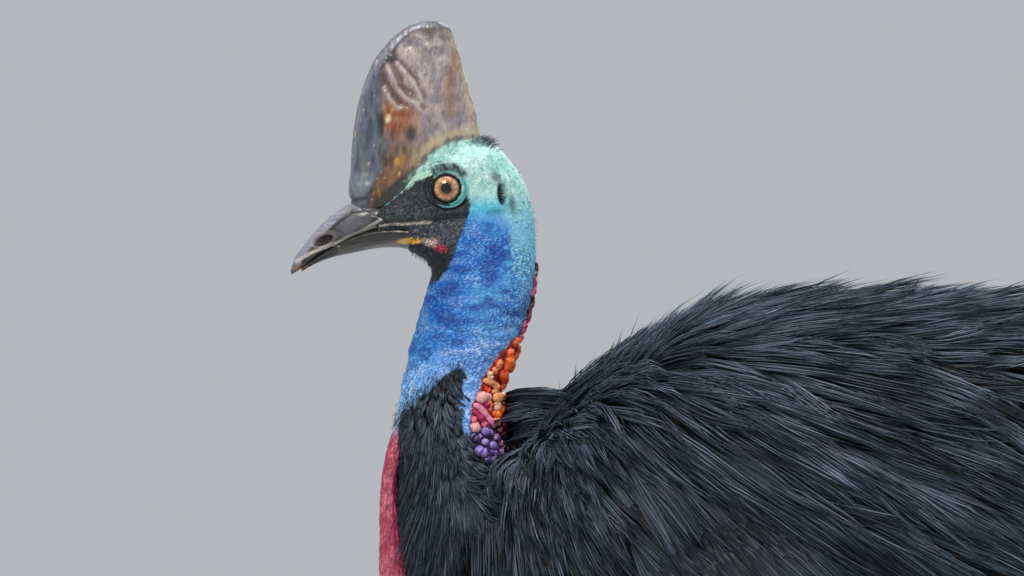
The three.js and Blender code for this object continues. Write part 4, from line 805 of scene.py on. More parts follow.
# The casque: a loft from its sunk base to its top. A smooth shield runs round its front, the side is worn
# and sunken with crumpled folds, and the rear is pale with fine lines across. The worn side has layers of its
# own over the shield's, and the skin's colours run up onto the foot.
def buildCasque():
    angles = turnsRound(casque["around"])
    grid = loft(casqueRows, np.linspace(0, 1, casque["rows"]) ** 0.92, casque["around"])
    grid[..., 1] *= np.maximum(np.abs(np.sin(angles)), 1e-6) ** -0.2
    out = gridOut(grid)
    x, z, at, near = inSideView(grid, casqueMarks)
    edgeX = np.interp(z, casqueMarks["shieldEdge"][:, 1], casqueMarks["shieldEdge"][:, 0])
    worn = ease(-2, 3.5, x - edgeX + 3 * (softNoise(grid, 5, 60) - 0.5)) * ease(1238, 1231, z)
    tall = np.stack([x, grid[..., 1], z * 0.22], -1)
    streak = softNoise(tall, (2.6, 5, 2.6), 61)
    wide = softNoise(tall, (5.5, 9, 6), 62)
    blotch = softNoise(grid, 9, 63)
    fine = softNoise(grid, 2.0, 65)
    folds = sum(nearLine(x, z, line, 2.1) for line in casqueMarks["folds"])
    folds = np.minimum(folds + 0.4 * sum(nearLine(x, z, line, 2.6) for line in casqueMarks["faintFolds"]), 1)
    gaps = np.minimum(sum(nearLine(x, z, line + [3.4, 2.4], 2.3) for line in casqueMarks["folds"]), 1)
    gaps = np.maximum(gaps, sum(nearLine(x, z, line, 2.4) for line in casqueMarks["foldGaps"]))
    gaps = np.minimum(gaps, 1) * (1 - folds)
    upper = ease(1112, 1145, z)
    rear = ease(-452, -428, x) * ease(1190, 1150, z)
    lobes = at(360, 188, 12, 12, 0.2, 0.6)
    lobeLine = near("lobeLine", 1.8)
    rust = at(396, 118, 17, 18, 0.1, 0.9)
    relief = worn * (1.7 * folds - 1.5 * gaps - 0.9 * ease(-402, -412, x))
    relief += worn * upper * 1.7 * (softNoise(grid, (5, 5, 11), 67) - 0.5)
    hollow = at(397, 160, 16, 28, 0.1, 0.8)
    relief += worn * (1 - upper) * (1.5 * (softNoise(grid, (2.2, 4, 14), 68) - 0.5) - 1.2 * hollow)
    relief += (1 - worn) * (0.7 * (wide - 0.5) + 0.35 * (streak - 0.5)) + 0.3 * (fine - 0.5)
    relief += 2.6 * lobes * (0.7 + 0.6 * softNoise(grid, 6, 73)) - 1.3 * lobeLine
    relief += rear * 0.3 * np.sin((z - 0.55 * x) * fullTurn / 2.7 + 4 * blotch)
    tone = tonesOf(casque)
    side = layered(
        tone["stripeBrown"], tone,
        ("tan", ease(398, 424, x / sideView["pixel"] + 900 + 6 * (blotch - 0.5))),
        ("stripeOchre", ease(0.55, 0.75, wide) * ease(-452, -470, x)),
        ("stripeDark", ease(0.52, 0.75, streak) * ease(-440, -468, x) * 0.9),
        (blendBy(tone["lavender"], tone["pale"], ease(0.3, 0.65, blotch)), upper),
        ("rearEdge", near("rearEdge", 5) * 0.8),
        ("rear", near("rearBand", 5.2) * 0.8),
        ("rust", np.minimum(rust * 1.2, 1)),
        ("rustBright", rust * ease(0.5, 0.75, blotch) * 0.8),
        ("rustDark", rust * ease(0.55, 0.8, streak) * 0.85),
        ("maroon", at(383, 82, 5.5, 13, -0.1, 0.6) * 0.95),
        ("indigo", at(392, 56.5, 6, 8, 0.6, 0.5) * 0.95),
        ("blot", at(411, 134, 6, 8, 0, 0.6) * 0.85),
        ("topSpot", at(430, 33, 4.5, 9, 0, 0.6) * 0.8),
        ("topSpot", at(445, 37, 6, 4, 0, 0.6) * 0.7),
        ("foldShade", gaps * 0.85),
        ("fold", folds * 0.9),
        ("ochre", at(397, 162, 2.8, 3.6, 0, 0.4)),
        ("speck", at(388, 119, 2.6, 4.2, 0, 0.4)),
        ("stripeDark", ease(0.6, 0.8, softNoise(grid, (1.4, 3, 3.4), 70)) * 0.35))
    border = np.exp(-((x - edgeX) / 2.2) ** 2) * ease(1236, 1228, z)
    foot = lineDistance(x, z, marks["casqueFoot"])
    aboveFoot = z - np.interp(x, marks["casqueFoot"][:, 0], marks["casqueFoot"][:, 1])
    under = blendBy(tone["under"], skinTone(grid), ease(-474, -458, x + 12 * (fine - 0.5)))
    colour = layered(
        tone["shield"], tone,
        ("shieldBlue", ease(0.45, 0.7, wide)),
        ("shieldGreen", ease(0.5, 0.2, wide) * 0.8),
        ("shieldDark", ease(0.5, 0.8, streak) * 0.75),
        ("shieldDark", at(355.5, 161, 4, 12, 0, 0.7) * 0.8),
        ("shieldTop", ease(1188, 1222, z)),
        # painted highlight: a pale strip along the shield's front edge and a pale spot high on its front
        ("shieldHighlight", near("front", 3.4) * (0.3 + 0.5 * fine)),
        ("shieldHighlight", at(398, 44, 8, 4, 0.6, 0.6) * 0.9),
        ("lobe", lobes * 0.9),
        ("lobeLine", lobeLine * 0.85),
        (side, worn),
        ("border", border * (0.35 + 0.5 * ease(0.35, 0.6, blotch))),
        ("blot", at(381, 124, 3.4, 13, 0, 0.5) * 0.9),
        ("cream", np.exp(-((foot - 6) / 4) ** 2) * ease(-470, -445, x) * 0.8),
        (under, ease(2, -2, aboveFoot + 5 * (streak - 0.5))),
        ("foot", ease(4.5, 0.5, foot + 9 * (streak - 0.4)) * 0.75),
        ("stripeBrown", at(392, 180, 18, 11, 0.7, 0.6) * ease(-2, 3, aboveFoot) * 0.7),
        ("speck", ease(0.88, 0.95, softNoise(grid, 2.6, 71)) * 0.6))
    grid = grid + out * relief[..., None]
    makePiece("casque_horn", *gridPart(grid, colour), casqueKeratin, "casque_horn", ("casque",))


upperBillRows = np.array([
    [-578, 1003.5, -579, 1007, 1.8, -0.1], [-570, 1008, -574, 1021, 4.2, -0.25],
    [-558, 1017, -565, 1033, 6.8, -0.3], [-544, 1026, -553, 1047.5, 9.5, -0.3],
    [-527, 1036, -538, 1061.5, 12.5, -0.3], [-507, 1044, -521, 1071, 16.5, -0.3],
    [-484, 1048.5, -500, 1072, 21.5, -0.3], [-456, 1050, -470, 1074, 26, -0.2]])
lowerBillRows = np.array([
    [-568, 1006.2, -569, 1009.4, 2.2, 0.1], [-556, 1013, -558, 1017.6, 5, 0.3],
    [-540, 1019.5, -543, 1027.4, 8.2, 0.4], [-521, 1023.5, -526, 1037, 11.5, 0.4],
    [-499, 1028, -506, 1045, 15.5, 0.4], [-478, 1029, -482, 1049.2, 21, 0.3],
    [-462, 1026, -464, 1050.2, 25.5, 0.2]])
# the line behind which the bill's horn lies under the skin
hornEdge = seen([397, 205, 417, 216, 444, 229, 452, 231, 450, 256]) - [40, 0]
bill = {"rows": 160, "around": 120, "lowerRows": 110, "lowerAround": 90, "dark": "#1d1d1f",
        "brown": "#33302b", "culmen": "#80808e", "culmenPale": "#aeaeba", "nasal": "#5d5b61",
        "edge": "#bdb7ad", "tip": "#6b4936", "nostril": "#1d0f0e", "rim": "#8f8a86", "line": "#101113",
        "lower": "#161412", "lowerPale": "#5f5a52", "speck": "#b79a4a", "crease": "#353338",
        "yellow": "#dcae2e"}
billMarks = seenLines({
    "culmen": [293, 264, 297, 257, 306, 244, 319, 229.5, 334, 215.5, 351, 203, 366, 203],
    "culmenLine": [303, 262, 312, 250, 325, 236, 338, 224, 352, 213, 368, 210],
    "cutting": [296.6, 261.4, 312, 252.5, 331, 245, 351.5, 238.5, 369, 229.5, 388, 225, 407.6, 224,
        430.5, 222.5],
    "nasalEdge": [334, 246, 347, 237, 361, 231, 378, 222, 392, 212],
    "groove": [318, 249, 331, 245, 346, 232, 362, 222, 378, 212],
    "ramus": [340, 250, 358, 246, 385, 243, 404, 240],
})


# Makes a half of the bill, which dips under the skin behind the horn's edge.
def makeHorn(name, grid, relief, colour, replaced):
    x, hornX = grid[..., 0], lineX(hornEdge, grid[..., 2])
    relief = relief - 2.4 * ease(hornX - 1.5, hornX + 3.5, x)
    grid = grid + gridOut(grid) * relief[..., None]
    makePiece(name, *gridPart(grid, colour), billKeratin, "bill_horn", (replaced,))


# The bill's two halves: lofts from the tip back under the skin. The nostril is a slanting pit with a raised
# rim, and grooves part the ridge, the nasal cover and the cutting edge.
def buildUpperBill():
    grid = loft(upperBillRows, np.linspace(0, 1, bill["rows"]), bill["around"])
    x, z, at, near = inSideView(grid, billMarks)
    tone = tonesOf(bill)
    fibre = softNoise(grid, (6, 3, 1.5), 81)
    pit = at(323.4, 240.4, 9.4, 4.4, 0.35, 0.35)
    rim = at(323.4, 240.4, 13, 7.5, 0.35, 0.5)
    ridge = ease(7.6, 4.2, lineDistance(x, z, billMarks["culmen"]))
    line = near("culmenLine", 1.3)
    nasal = at(353, 222, 19, 11, 0.6, 0.6)
    creases = ease(0.6, 0.8, softNoise(grid, (7, 5, 2.2), 84)) * nasal
    cutting = ease(0.3, 0.75, near("cutting", 2.0))
    edge = ease(0.3, 0.8, near("nasalEdge", 1.9))
    colour = layered(
        tone["dark"], tone,
        ("brown", ease(0.4, 0.8, softNoise(grid, 7, 83))),
        ("nasal", nasal * 0.9),
        ("crease", creases * 0.7),
        ("culmen", ridge),
        ("culmenPale", ridge * ease(0.2, 0.9, fibre) * 0.5),
        ("line", line * 0.8),
        ("edge", edge * 0.7),
        ("edge", cutting * ease(-484, -492, x) * 0.85),
        ("rim", rim * (1 - pit) * 0.6),
        ("nostril", pit),
        ("speck", ease(0.82, 0.9, softNoise(grid, 1.8, 85)) * ease(-488, -482, x) * 0.6),
        ("tip", at(294, 270, 9, 6, 0, 0.6) * 0.8))
    relief = 0.25 * (fibre - 0.5) + 0.8 * rim - 5.6 * pit - 0.7 * line + 1.5 * nasal - 0.4 * creases
    relief += 0.6 * edge + 0.5 * cutting - 0.6 * near("groove", 1.6) * (1 - rim)
    makeHorn("upper_bill_horn", grid, relief, colour, "bill_upper")


def buildLowerBill():
    grid = loft(lowerBillRows, np.linspace(0, 1, bill["lowerRows"]), bill["lowerAround"])
    x, z, at, near = inSideView(grid, billMarks)
    tone = tonesOf(bill)
    ramus = near("ramus", 2.0)
    fibre = softNoise(grid, (6, 3, 1.5), 86)
    colour = layered(
        tone["lower"], tone,
        ("dark", ease(0.4, 0.7, fibre)),
        ("lowerPale", ramus * 0.5),
        ("yellow", at(412, 241.2, 14, 3.0, 0.03, 0.3)),
        ("tip", at(301, 270, 8, 5, 0, 0.6) * 0.7))
    relief = 0.25 * (fibre - 0.5) + 0.9 * ramus - 0.5 * near("ramus", 1.6, (0, 4))
    makeHorn("lower_bill_horn", grid, relief, colour, "bill_lower")


# A bar along stops of x, y, z, half depth and half width, round in section and square to the way along.
def barGrid(stops, rows, around):
    run = readRows(np.array(stops, float), np.linspace(0, 1, rows))
    centre = run[:, :3]
    ahead = unit(np.gradient(centre, axis=0))
    sideways = unit(np.cross(np.array([0.0, 1.0, 0.0]), ahead))
    across = np.cross(ahead, sideways)
    turn = turnsRound(around)
    return (centre[:, None] + sideways[:, None] * (np.cos(turn)[None, :, None] * run[:, None, 3:4])
            + across[:, None] * (np.sin(turn)[None, :, None] * run[:, None, 4:5]))


wattle = {"rows": 210, "around": 76, "rose": "#c44a66", "pale": "#e28aa0", "deep": "#842a44",
          "neck": "#7fa9e0",
          "stops": [[-468, 9, 866, 6, 5], [-478, 12, 846, 6.5, 6.5], [-484, 15, 815, 7.5, 8.5],
                    [-485, 17, 785, 9, 9.5], [-483, 18, 755, 11.5, 10.5], [-480.5, 19, 722, 14, 11.5],
                    [-479, 19, 692, 14, 11], [-479.5, 19, 675, 9, 8], [-479.5, 19, 667, 3, 3]]}


# A wattle: a long lobe with a thin top, fine wrinkles down its length, cells between them and a bulbous end.
def buildWattle(side):
    stops = np.array(wattle["stops"], float)
    stops[:, 1] *= sides[side]
    grid = barGrid(stops, wattle["rows"], wattle["around"])
    z = grid[..., 2]
    warp = np.stack([softNoise(grid, 11, seed) - 0.5 for seed in (91, 92, 93)], -1) * 6
    folds = dome(cellNoise(grid + warp, (3.8, 3.8, 14), 95))
    cells = dome(cellNoise(grid + 0.5 * warp, (2.8, 2.8, 3.6), 97))
    tone = tonesOf(wattle)
    grid = grid + gridOut(grid) * (0.95 * folds + 0.4 * cells - 1.1)[..., None]
    # the deep tone shows as painted shade in the creases between folds and cells, rose lies on their tops,
    # and the pale tone is a painted highlight on those tops in noise patches
    colour = layered(
        tone["deep"], tone,
        ("rose", 0.1 + 0.9 * folds * (0.5 + 0.5 * cells)),
        ("pale", 0.75 * cells * folds * ease(0.3, 0.7, softNoise(grid, 14, 99))),
        ("neck", ease(845, 864, z) * 0.9))
    makePiece("wattle_skin_" + side, *gridPart(grid, colour), softSkin, "wattle_skin", ("wattle_" + side,))


# Caruncles: soft ropes and bulbs on both sides of the nape. Each run gives its colour, its half width in
# millimetres and its picture places.
caruncles = {
    "around": 14, "steps": 19, "root": 0.2,
    # groove: the dark tone of runs that stand for the painted shade between bulbs
    "groove": "#5a1838", "crimson": "#b03c60", "pink": "#e06a88", "orange": "#e85a1a", "fire": "#f84a0a",
    "bright": "#ff6a1a", "salmon": "#ee8050", "cream": "#efb898", "peach": "#f79c60", "core": "#d82a10",
    "palePink": "#eea6a4", "rope": "#ee84a2", "magenta": "#a80a58", "lilac": "#7d68b0",
    "paleLilac": "#a08ccc", "mauve": "#8a5c9c", "violet": "#503486", "darkViolet": "#2e245a",
    "dusty": "#80486e", "maroon": "#4a1020",
}
caruncleRuns = [
    ["groove", 2.2, 535.5, 262, 535.5, 271, 533.5, 280], ["crimson", 2.5, 534, 276, 533.5, 288, 530, 297],
    ["groove", 2.7, 532, 292, 531, 302, 527.5, 312], ["crimson", 2.8, 529.5, 306, 528.5, 316, 525, 326],
    ["crimson", 3, 524.5, 320, 522.5, 328, 519.5, 336], ["pink", 2.9, 521, 333, 519.5, 338, 518, 343],
    ["orange", 3.4, 517, 337, 515.5, 341, 512.5, 345], ["orange", 3.5, 518, 345, 516, 352, 512, 360],
    ["bright", 4.5, 509.5, 348, 508.5, 358, 503.5, 371], ["fire", 3.6, 514, 356, 511, 365, 507, 373],
    ["salmon", 3, 500, 359, 498.5, 364, 497, 370], ["fire", 4.4, 500, 370, 503, 378, 499.5, 389],
    ["salmon", 2.4, 493, 367, 494.5, 370, 495.5, 373], ["cream", 3, 490.5, 370.5, 489.5, 374, 490.5, 379],
    ["peach", 3.3, 483, 380, 489, 381, 494.5, 385, 495, 389, 491.5, 393],
    ["core", 2.7, 485, 387, 487.5, 389.5, 490, 390], ["bright", 3.6, 506, 374, 506, 382, 503.5, 390],
    ["palePink", 4.4, 476, 399, 482, 396.5, 490, 396], ["peach", 4.2, 492, 398, 498, 396.5, 503, 396],
    ["cream", 3.2, 494, 402, 497.5, 405, 494, 409], ["orange", 3.4, 502, 402, 501.5, 407, 499.5, 412],
    ["bright", 3.2, 492, 412, 496, 414.5, 500.5, 414], ["salmon", 3.2, 493, 419, 496.5, 421, 499.5, 420],
    ["magenta", 3.2, 483.5, 401, 486, 405, 486.5, 410], ["salmon", 2.6, 487, 399, 489, 405, 489, 411],
    ["rope", 3.1, 473.5, 405, 478, 405.6, 483.4, 411.5, 487.2, 416.4, 491, 421.7, 494, 427],
    ["magenta", 2.5, 472.5, 410, 477, 412.5, 481, 417.5, 484, 423],
    ["pink", 2.8, 472.5, 416, 474, 418.5, 476.5, 420], ["palePink", 3.9, 471, 424, 475, 426.5, 480, 428.5],
    ["crimson", 2.8, 481, 424, 485, 424.5, 489, 427], ["lilac", 3.4, 481, 429.5, 486, 431, 492, 432],
    ["maroon", 4, 498, 427, 499.5, 431, 502, 436], ["darkViolet", 3.3, 471.5, 433, 474.5, 436.5, 479, 439.5],
    ["mauve", 2.2, 478.5, 433.5, 480, 436, 481, 438], ["paleLilac", 3, 482.5, 438.5, 484.5, 441, 487, 444],
    ["mauve", 3, 493, 435, 495.5, 437, 498.5, 439.5], ["lilac", 3.2, 489, 443, 493, 445, 497, 447.5],
    ["dusty", 3.2, 499, 441, 501, 444, 503, 448], ["lilac", 4.3, 476, 446.5, 481, 451, 487.5, 453.5],
    ["violet", 2.8, 490, 450, 494, 452.5, 498, 454], ["mauve", 2.6, 499, 449.5, 501, 451, 503, 453],
    ["darkViolet", 3, 484, 456.5, 488, 459, 492, 460],
    ["paleLilac", 3.9, 491.5, 457.5, 495, 460, 498.5, 462.5],
    ["violet", 3.4, 500, 457.5, 502.5, 461, 505, 464], ["violet", 2.6, 492, 465, 495, 467, 498, 468],
    ["dusty", 3.1, 500, 466, 505.5, 467.5, 511.5, 468], ["dusty", 2.8, 503, 472, 508, 474, 512, 478],
    ["groove", 3.4, 505, 440, 507, 447, 508, 456], ["groove", 3.4, 503, 418, 503, 424, 505, 432]
]


# Each run is a smooth line on the skin, raised by half its height, with a round section that swells and
# narrows along it and closes at both ends. Its side against the skin is painted dark as shade, lumps on its
# outer side get a painted highlight, and the grooves between them are left dark as painted shade.
def buildCaruncles():
    parts = []
    tone = tonesOf(caruncles)
    turn = turnsRound(caruncles["around"])
    f = np.linspace(0, 1, caruncles["steps"])
    for number, (toneName, half, *run) in enumerate(caruncleRuns):
        flat = seen(run)
        x, z = readRows(np.column_stack([flat, flat[:, :1] * 0]), f)[:, :2].T
        centre, out, _, _ = formOut(birdRows, *findOnSide(birdRows, x, z, 0.25, 0.64))
        centre[:, 1] = np.maximum(centre[:, 1], 2.0)
        sideways = unit(np.cross(unit(np.gradient(centre, axis=0)), out))
        swell = np.sqrt(np.sin(np.clip(f * 0.94 + 0.03, 0, 1) * math.pi))
        swell *= 1 + 0.12 * np.sin(f * 9 + number) + 0.06 * np.sin(f * 19 + 2 * number)
        across = np.cos(turn)[None, :, None] * (half * 1.28 * swell)[:, None, None]
        above = (caruncles["root"] + np.sin(turn))[None, :, None] * (half * 1.1 * swell)[:, None, None]
        grid = centre[:, None] + sideways[:, None] * across + out[:, None] * above
        lump = softNoise(grid, 2.3, 101 + number)
        base = tone[toneName]
        # painted shade on each bulb's side against the skin, and a painted highlight on the lumps of its
        # outer side
        top = ease(-0.3, 0.9, np.sin(turn))[None, :] * np.ones((len(f), 1))
        colour = blendBy(base * [0.3, 0.15, 0.25], base, 0.05 + 0.95 * top)
        colour = blendBy(colour, np.minimum(base * 1.2 + 0.1, 1), ease(0.45, 0.8, lump) * top * 0.55)
        grid = grid + (lump[..., None] - 0.5) * 1.6 * out[:, None]
        places, faces, colours = gridPart(grid * [1, -1, 1], colour)
        parts += [(places, [face[:, ::-1] for face in faces], colours), gridPart(grid, colour)]
    makePiece("caruncle_ropes", *joinParts(parts), softSkin, "bare_skin")


# Feathers. Each is a bundle of thin closed strands that share a root, spread, and draw together to a tip.
coat = {
    "seed": 5, "steps": 12, "mostInPiece": 11500, "feathersInClump": 8,
    # a strand's rings by their share of its length, how wide it is at each, and how much painted highlight
    # its colour has there: none at the root, which so stays dark as in shade
    "rings": [0, 0.4, 0.75, 1.0], "ringWidths": [0.7, 1, 0.75, 0], "ringShine": [0, 0.9, 1, 0.5],
    "body": {"count": 6800, "strands": 7, "length": (110, 180), "half": 8.0, "wide": 1.95, "lift": 30},
    "mantle": {"top": 320, "side": 520, "front": 420, "strands": 7, "length": (45, 90), "half": 5.0,
               "wide": 1.45, "frontLength": (60, 105), "frontHeights": (826, 890),
               "frontSlopes": ([826, 845, 860, 872, 886], [62, 50, 34, 16, -4])},
    "collar": {"count": 620, "strands": 7, "length": (45, 85), "half": 5.5, "wide": 1.6, "lift": (9, 24)},
    "collarFocus": (500, 405),  # the picture place it fans out from
    "neck": {"count": 2500, "strands": 6, "length": (12, 60), "half": 3.8, "wide": 1.15, "lift": 11},
    "thigh": {"count": 420, "strands": 7, "length": (60, 105), "half": 7.5, "wide": 1.9, "lift": 15},
    "wing": {"count": 340, "strands": 6, "length": (85, 150), "half": 7.0, "wide": 1.8, "lift": (3, 13)},
    "black": "#06080c", "blue": "#0f151e", "shine": "#54667a", "paleShine": "#8798aa",
}
flankSlopes = np.array([
    [-430, 80], [-350, 64], [-285, 48], [-150, 34], [50, 27], [250, 36], [400, 62], [480, 78]])
backSlopes = np.array([[-350, 8], [100, 2], [300, 20], [420, 60], [480, 78]])
rumpShare = (13 + 15 * 0.86) / 28
rumpHang = 0.2 * 20 / coat["steps"]


# The way the body's feathers point: level along the back, slanting down on the flank by its slope there, and
# level again under the belly.
def bodyLie(at, angle):
    fromCrown = turnApart(angle, 0)
    onFlank = ease(0.1, 1.0, fromCrown)
    under = ease(1.9, 2.6, fromCrown) * ease(-320, -150, at[:, 0])
    back = np.interp(at[:, 0], backSlopes[:, 0], backSlopes[:, 1])
    flank = np.interp(at[:, 0], flankSlopes[:, 0], flankSlopes[:, 1])
    slope = np.radians((back * (1 - onFlank) + flank * onFlank) * (1 - under) + 4 * under)
    return np.stack([np.cos(slope), slope * 0, -np.sin(slope)], -1)


# On the neck they fan out: the turn from straight down to backward grows from the front edge to the nape.
def neckLie(at, angle):
    back = np.clip((at[:, 0] + 475) / 123.5, 0, 1) ** 1.25
    turn = -15 + 95 * back * (0.7 + 0.45 * ease(732, 789, at[:, 2]))
    turn = np.radians(np.minimum(turn, 48 + 45 * ease(812, 786, at[:, 2])))
    return np.stack([np.sin(turn), turn * 0, -np.cos(turn)], -1)


# A feather's way over the body: at each step it moves a stride along its lie, worked out from how fast the
# place moves with share and angle, and past the rump it leaves the body and hangs.
def combPaths(share, angle, length, lie):
    share, angle = share.copy(), angle.copy()
    stride = length / coat["steps"]
    places, outs = [], []
    for step in range(coat["steps"] + 1):
        here, out, alongForm, roundForm = formOut(birdRows, share, angle)
        way = squareTo(lie(here, angle), out)
        if step == 0:
            at, ahead, up = here, way, out
            hangs = np.zeros(len(share), bool)
        else:
            hangs = share >= rumpShare
            fallen = unit(ahead + np.array([0, 0, -rumpHang]))
            at = np.where(hangs[:, None], at + fallen * stride[:, None], here)
            ahead = np.where(hangs[:, None], fallen, way)
            up = np.where(hangs[:, None], squareTo(up, fallen), out)
        places.append(at)
        outs.append(up)
        longWays = np.sum(alongForm * alongForm, -1)
        skew = np.sum(alongForm * roundForm, -1)
        crossWays = np.sum(roundForm * roundForm, -1)
        p, q = np.sum(way * alongForm, -1), np.sum(way * roundForm, -1)
        spread = np.maximum(longWays * crossWays - skew * skew, 1.0)
        share = np.where(hangs, share, np.clip(share + stride * (p * crossWays - q * skew) / spread, 0, 1))
        angle = np.where(hangs, angle, angle + stride * (q * longWays - p * skew) / spread)
    return np.stack(places, 1), np.stack(outs, 1)


# A feather's way through the air: straight from its root, and drooping by the square of the way gone.
def freePaths(root, way, out, length, droop):
    f = np.linspace(0, 1, coat["steps"] + 1)[None, :, None]
    along = length[:, None, None] * f
    places = root[:, None] + way[:, None] * along
    places[..., 2] -= (droop * length)[:, None] * f[..., 0] ** 2
    return places, np.broadcast_to(out[:, None], places.shape)


# Draws feathers together in clumps: every so many feathers one leads, and the others bend towards the way of
# the leader whose root is nearest, more and more to the tip. Gives the bent ways and each feather's leader.
def clumped(paths, pull):
    places, outs = paths
    leaders = np.arange(0, len(places), coat["feathersInClump"])
    roots = places[:, 0]
    nearest = np.concatenate([
        np.argmin(np.sum((part[:, None] - roots[leaders][None]) ** 2, -1), axis=1)
        for part in np.array_split(roots, max(1, len(roots) // 400))])
    leader = leaders[nearest]
    f = np.linspace(0, 1, places.shape[1])[None, :, None]
    return (places + pull * f**1.5 * (places[leader] - places), outs), leader


# Strands of feathers along their ways. Across its feather a strand keeps its own share of the half width,
# which opens from the root and closes again to the tip. It rises towards its tip and ends in a point.
def strandMesh(paths, leader, size, lift, half, draw, rise=1.15):
    places, outs = paths
    count, strands = len(places), size["strands"]
    sidesOf = unit(np.cross(np.gradient(places, axis=1), outs))
    rings = np.array(coat["rings"])
    offset = np.linspace(-1, 1, strands)[None, :] + draw.uniform(-0.25, 0.25, (count, strands))
    reach = (1 - 0.26 * np.abs(offset) ** 1.4) * draw.uniform(0.82, 1.0, (count, strands))
    f = reach[..., None] * rings
    place = f * (places.shape[1] - 1)
    start = np.minimum(place.astype(int), places.shape[1] - 2)
    part = (place - start)[..., None]
    index = np.arange(count)[:, None, None]
    centre, out, side = (values[index, start] * (1 - part) + values[index, start + 1] * part
                         for values in (places, outs, sidesOf))
    out, side = unit(out), unit(side)
    opened = (0.16 + 0.84 * np.sin(np.minimum(f * 1.7, 1) * math.pi / 2)) * (1 - 0.7 * f**1.5)
    drift = draw.uniform(-1, 1, (count, strands, 1)) * 0.4 * half[:, None, None] * f**2
    across = offset[..., None] * half[:, None, None] * opened + drift
    above = lift[:, None, None] * f**rise * (0.85 + 0.3 * draw.random((count, strands, 1)))
    above = above - 1.2 - 0.16 * half[:, None, None] * offset[..., None] ** 2 * opened
    centre = centre + side * across[..., None] + out * above[..., None]
    wide = size["wide"] * np.array(coat["ringWidths"])[None, None, :, None]
    wide = wide * draw.uniform(0.7, 1.2, (count, strands, 1, 1))
    flat = unit(side + out * draw.uniform(-0.6, 0.6, (count, strands, 1, 1)))
    ridge = unit(np.cross(flat, unit(np.gradient(centre, axis=2))))
    ridge = np.where(np.sum(ridge * out, -1, keepdims=True) < 0, -ridge, ridge)
    corners = np.stack([centre - flat * wide / 2, centre + ridge * wide * 0.42, centre + flat * wide / 2], 3)
    perStrand = 3 * (len(rings) - 1) + 1
    vertices = np.concatenate([corners[:, :, :-1].reshape(count, strands, -1, 3), centre[:, :, -1:]], 2)
    k = np.arange(3)
    quads = np.vstack([np.stack([3 * i + k, 3 * i + (k + 1) % 3, 3 * i + 3 + (k + 1) % 3, 3 * i + 3 + k], -1)
                       for i in range(len(rings) - 2)])
    last = 3 * (len(rings) - 2)
    triangles = np.vstack([[[2, 1, 0]], np.stack([last + k, last + (k + 1) % 3, np.full(3, last + 3)], -1)])
    starts = (np.arange(count * strands) * perStrand)[:, None, None]
    faces = [(quads + starts).reshape(-1, 4), (triangles + starts).reshape(-1, 3)]
    # painted highlight along each strand, stronger at random by clump, feather and strand, and none at the
    # root
    clumpShine = draw.random(count)[leader][:, None]
    shine = 0.35 * clumpShine**2 + 0.25 * draw.random((count, 1)) ** 2
    shine = shine + 0.4 * draw.random((count, strands)) ** 2.5
    shine = shine[..., None] * np.repeat(coat["ringShine"], [3, 3, 3, 1])
    tone = tonesOf(coat)
    base = blendBy(tone["black"], tone["blue"], ease(0.3, 0.8, softNoise(places[:, 0], 60, 111)))
    light = blendBy(tone["shine"], tone["paleShine"], draw.random((count, strands)) ** 2)
    colour = blendBy(base[:, None, None, :], light[:, :, None, :], shine)
    return vertices, faces, colour


# Makes the pieces of a coat: feathers in order along the bird, shared out so that no piece holds too many
# strands. Each strand's patch of the OFBake map lies at its root's place on the skin's own unwrap.
def makeCoat(name, unwrap, *feathers):
    vertices, faces, colour = strandMesh(*feathers)
    count, strands, perStrand = vertices.shape[:3]
    pieces = math.ceil(count * strands / coat["mostInPiece"])
    cutsAt = np.linspace(0, count, pieces + 1).astype(int)
    quadsPer, trianglesPer = len(faces[0]) // count, len(faces[1]) // count
    perFeather = strands * perStrand
    patch = np.zeros((strands, perStrand, 2))
    patch[..., 0] = (np.arange(strands)[:, None] / max(strands - 1, 1) - 0.5) * 0.003
    patch[..., 1] = (np.arange(perStrand) // 3)[None, :] / (perStrand // 3) * 0.003
    patch[..., 0] += (np.arange(perStrand) % 3 - 1)[None, :] * 0.0002
    for k in range(pieces):
        low, high = cutsAt[k], cutsAt[k + 1]
        uv = unwrap[low:high, None, None, :] + patch
        part = [faces[0][low * quadsPer:high * quadsPer] - low * perFeather,
                faces[1][low * trianglesPer:high * trianglesPer] - low * perFeather]
        label = name if pieces == 1 else f"{name}_{k + 1}"
        makePiece(label, vertices[low:high].reshape(-1, 3), part, colour[low:high].reshape(-1, 3),
                  featherKeratin, "plumage", uv=uv.reshape(-1, 2))


# Roots spread at random by area: each small cell of share and angle is drawn as often as it is large. They
# come in order from the top down, or on either side of the bird from the front back.
def drawRoots(count, low, high, keep, draw, fromTop=True):
    shares = np.linspace(low, high, 241)
    angles = np.linspace(0, fullTurn, 145)
    s, a = np.meshgrid((shares[1:] + shares[:-1]) / 2, (angles[1:] + angles[:-1]) / 2, indexing="ij")
    here, _, alongForm, roundForm = formOut(birdRows, s.ravel(), a.ravel())
    area = np.linalg.norm(np.cross(alongForm, roundForm), axis=-1) * keep(here, a.ravel(), s.ravel())
    cell = draw.choice(len(area), count, p=area / area.sum())
    share = s.ravel()[cell] + (draw.random(count) - 0.5) * (shares[1] - shares[0])
    angle = a.ravel()[cell] + (draw.random(count) - 0.5) * (angles[1] - angles[0])
    here = formPlace(birdRows, share, angle)
    order = np.argsort(-here[:, 2]) if fromTop else np.lexsort((here[:, 0], here[:, 1] > 0))
    return share[order], angle[order], here[order]


def coatUnwrap(share, angle):
    return np.stack([0.02 + 0.96 * (angle % fullTurn) / fullTurn, 0.02 + 0.96 * share], -1)


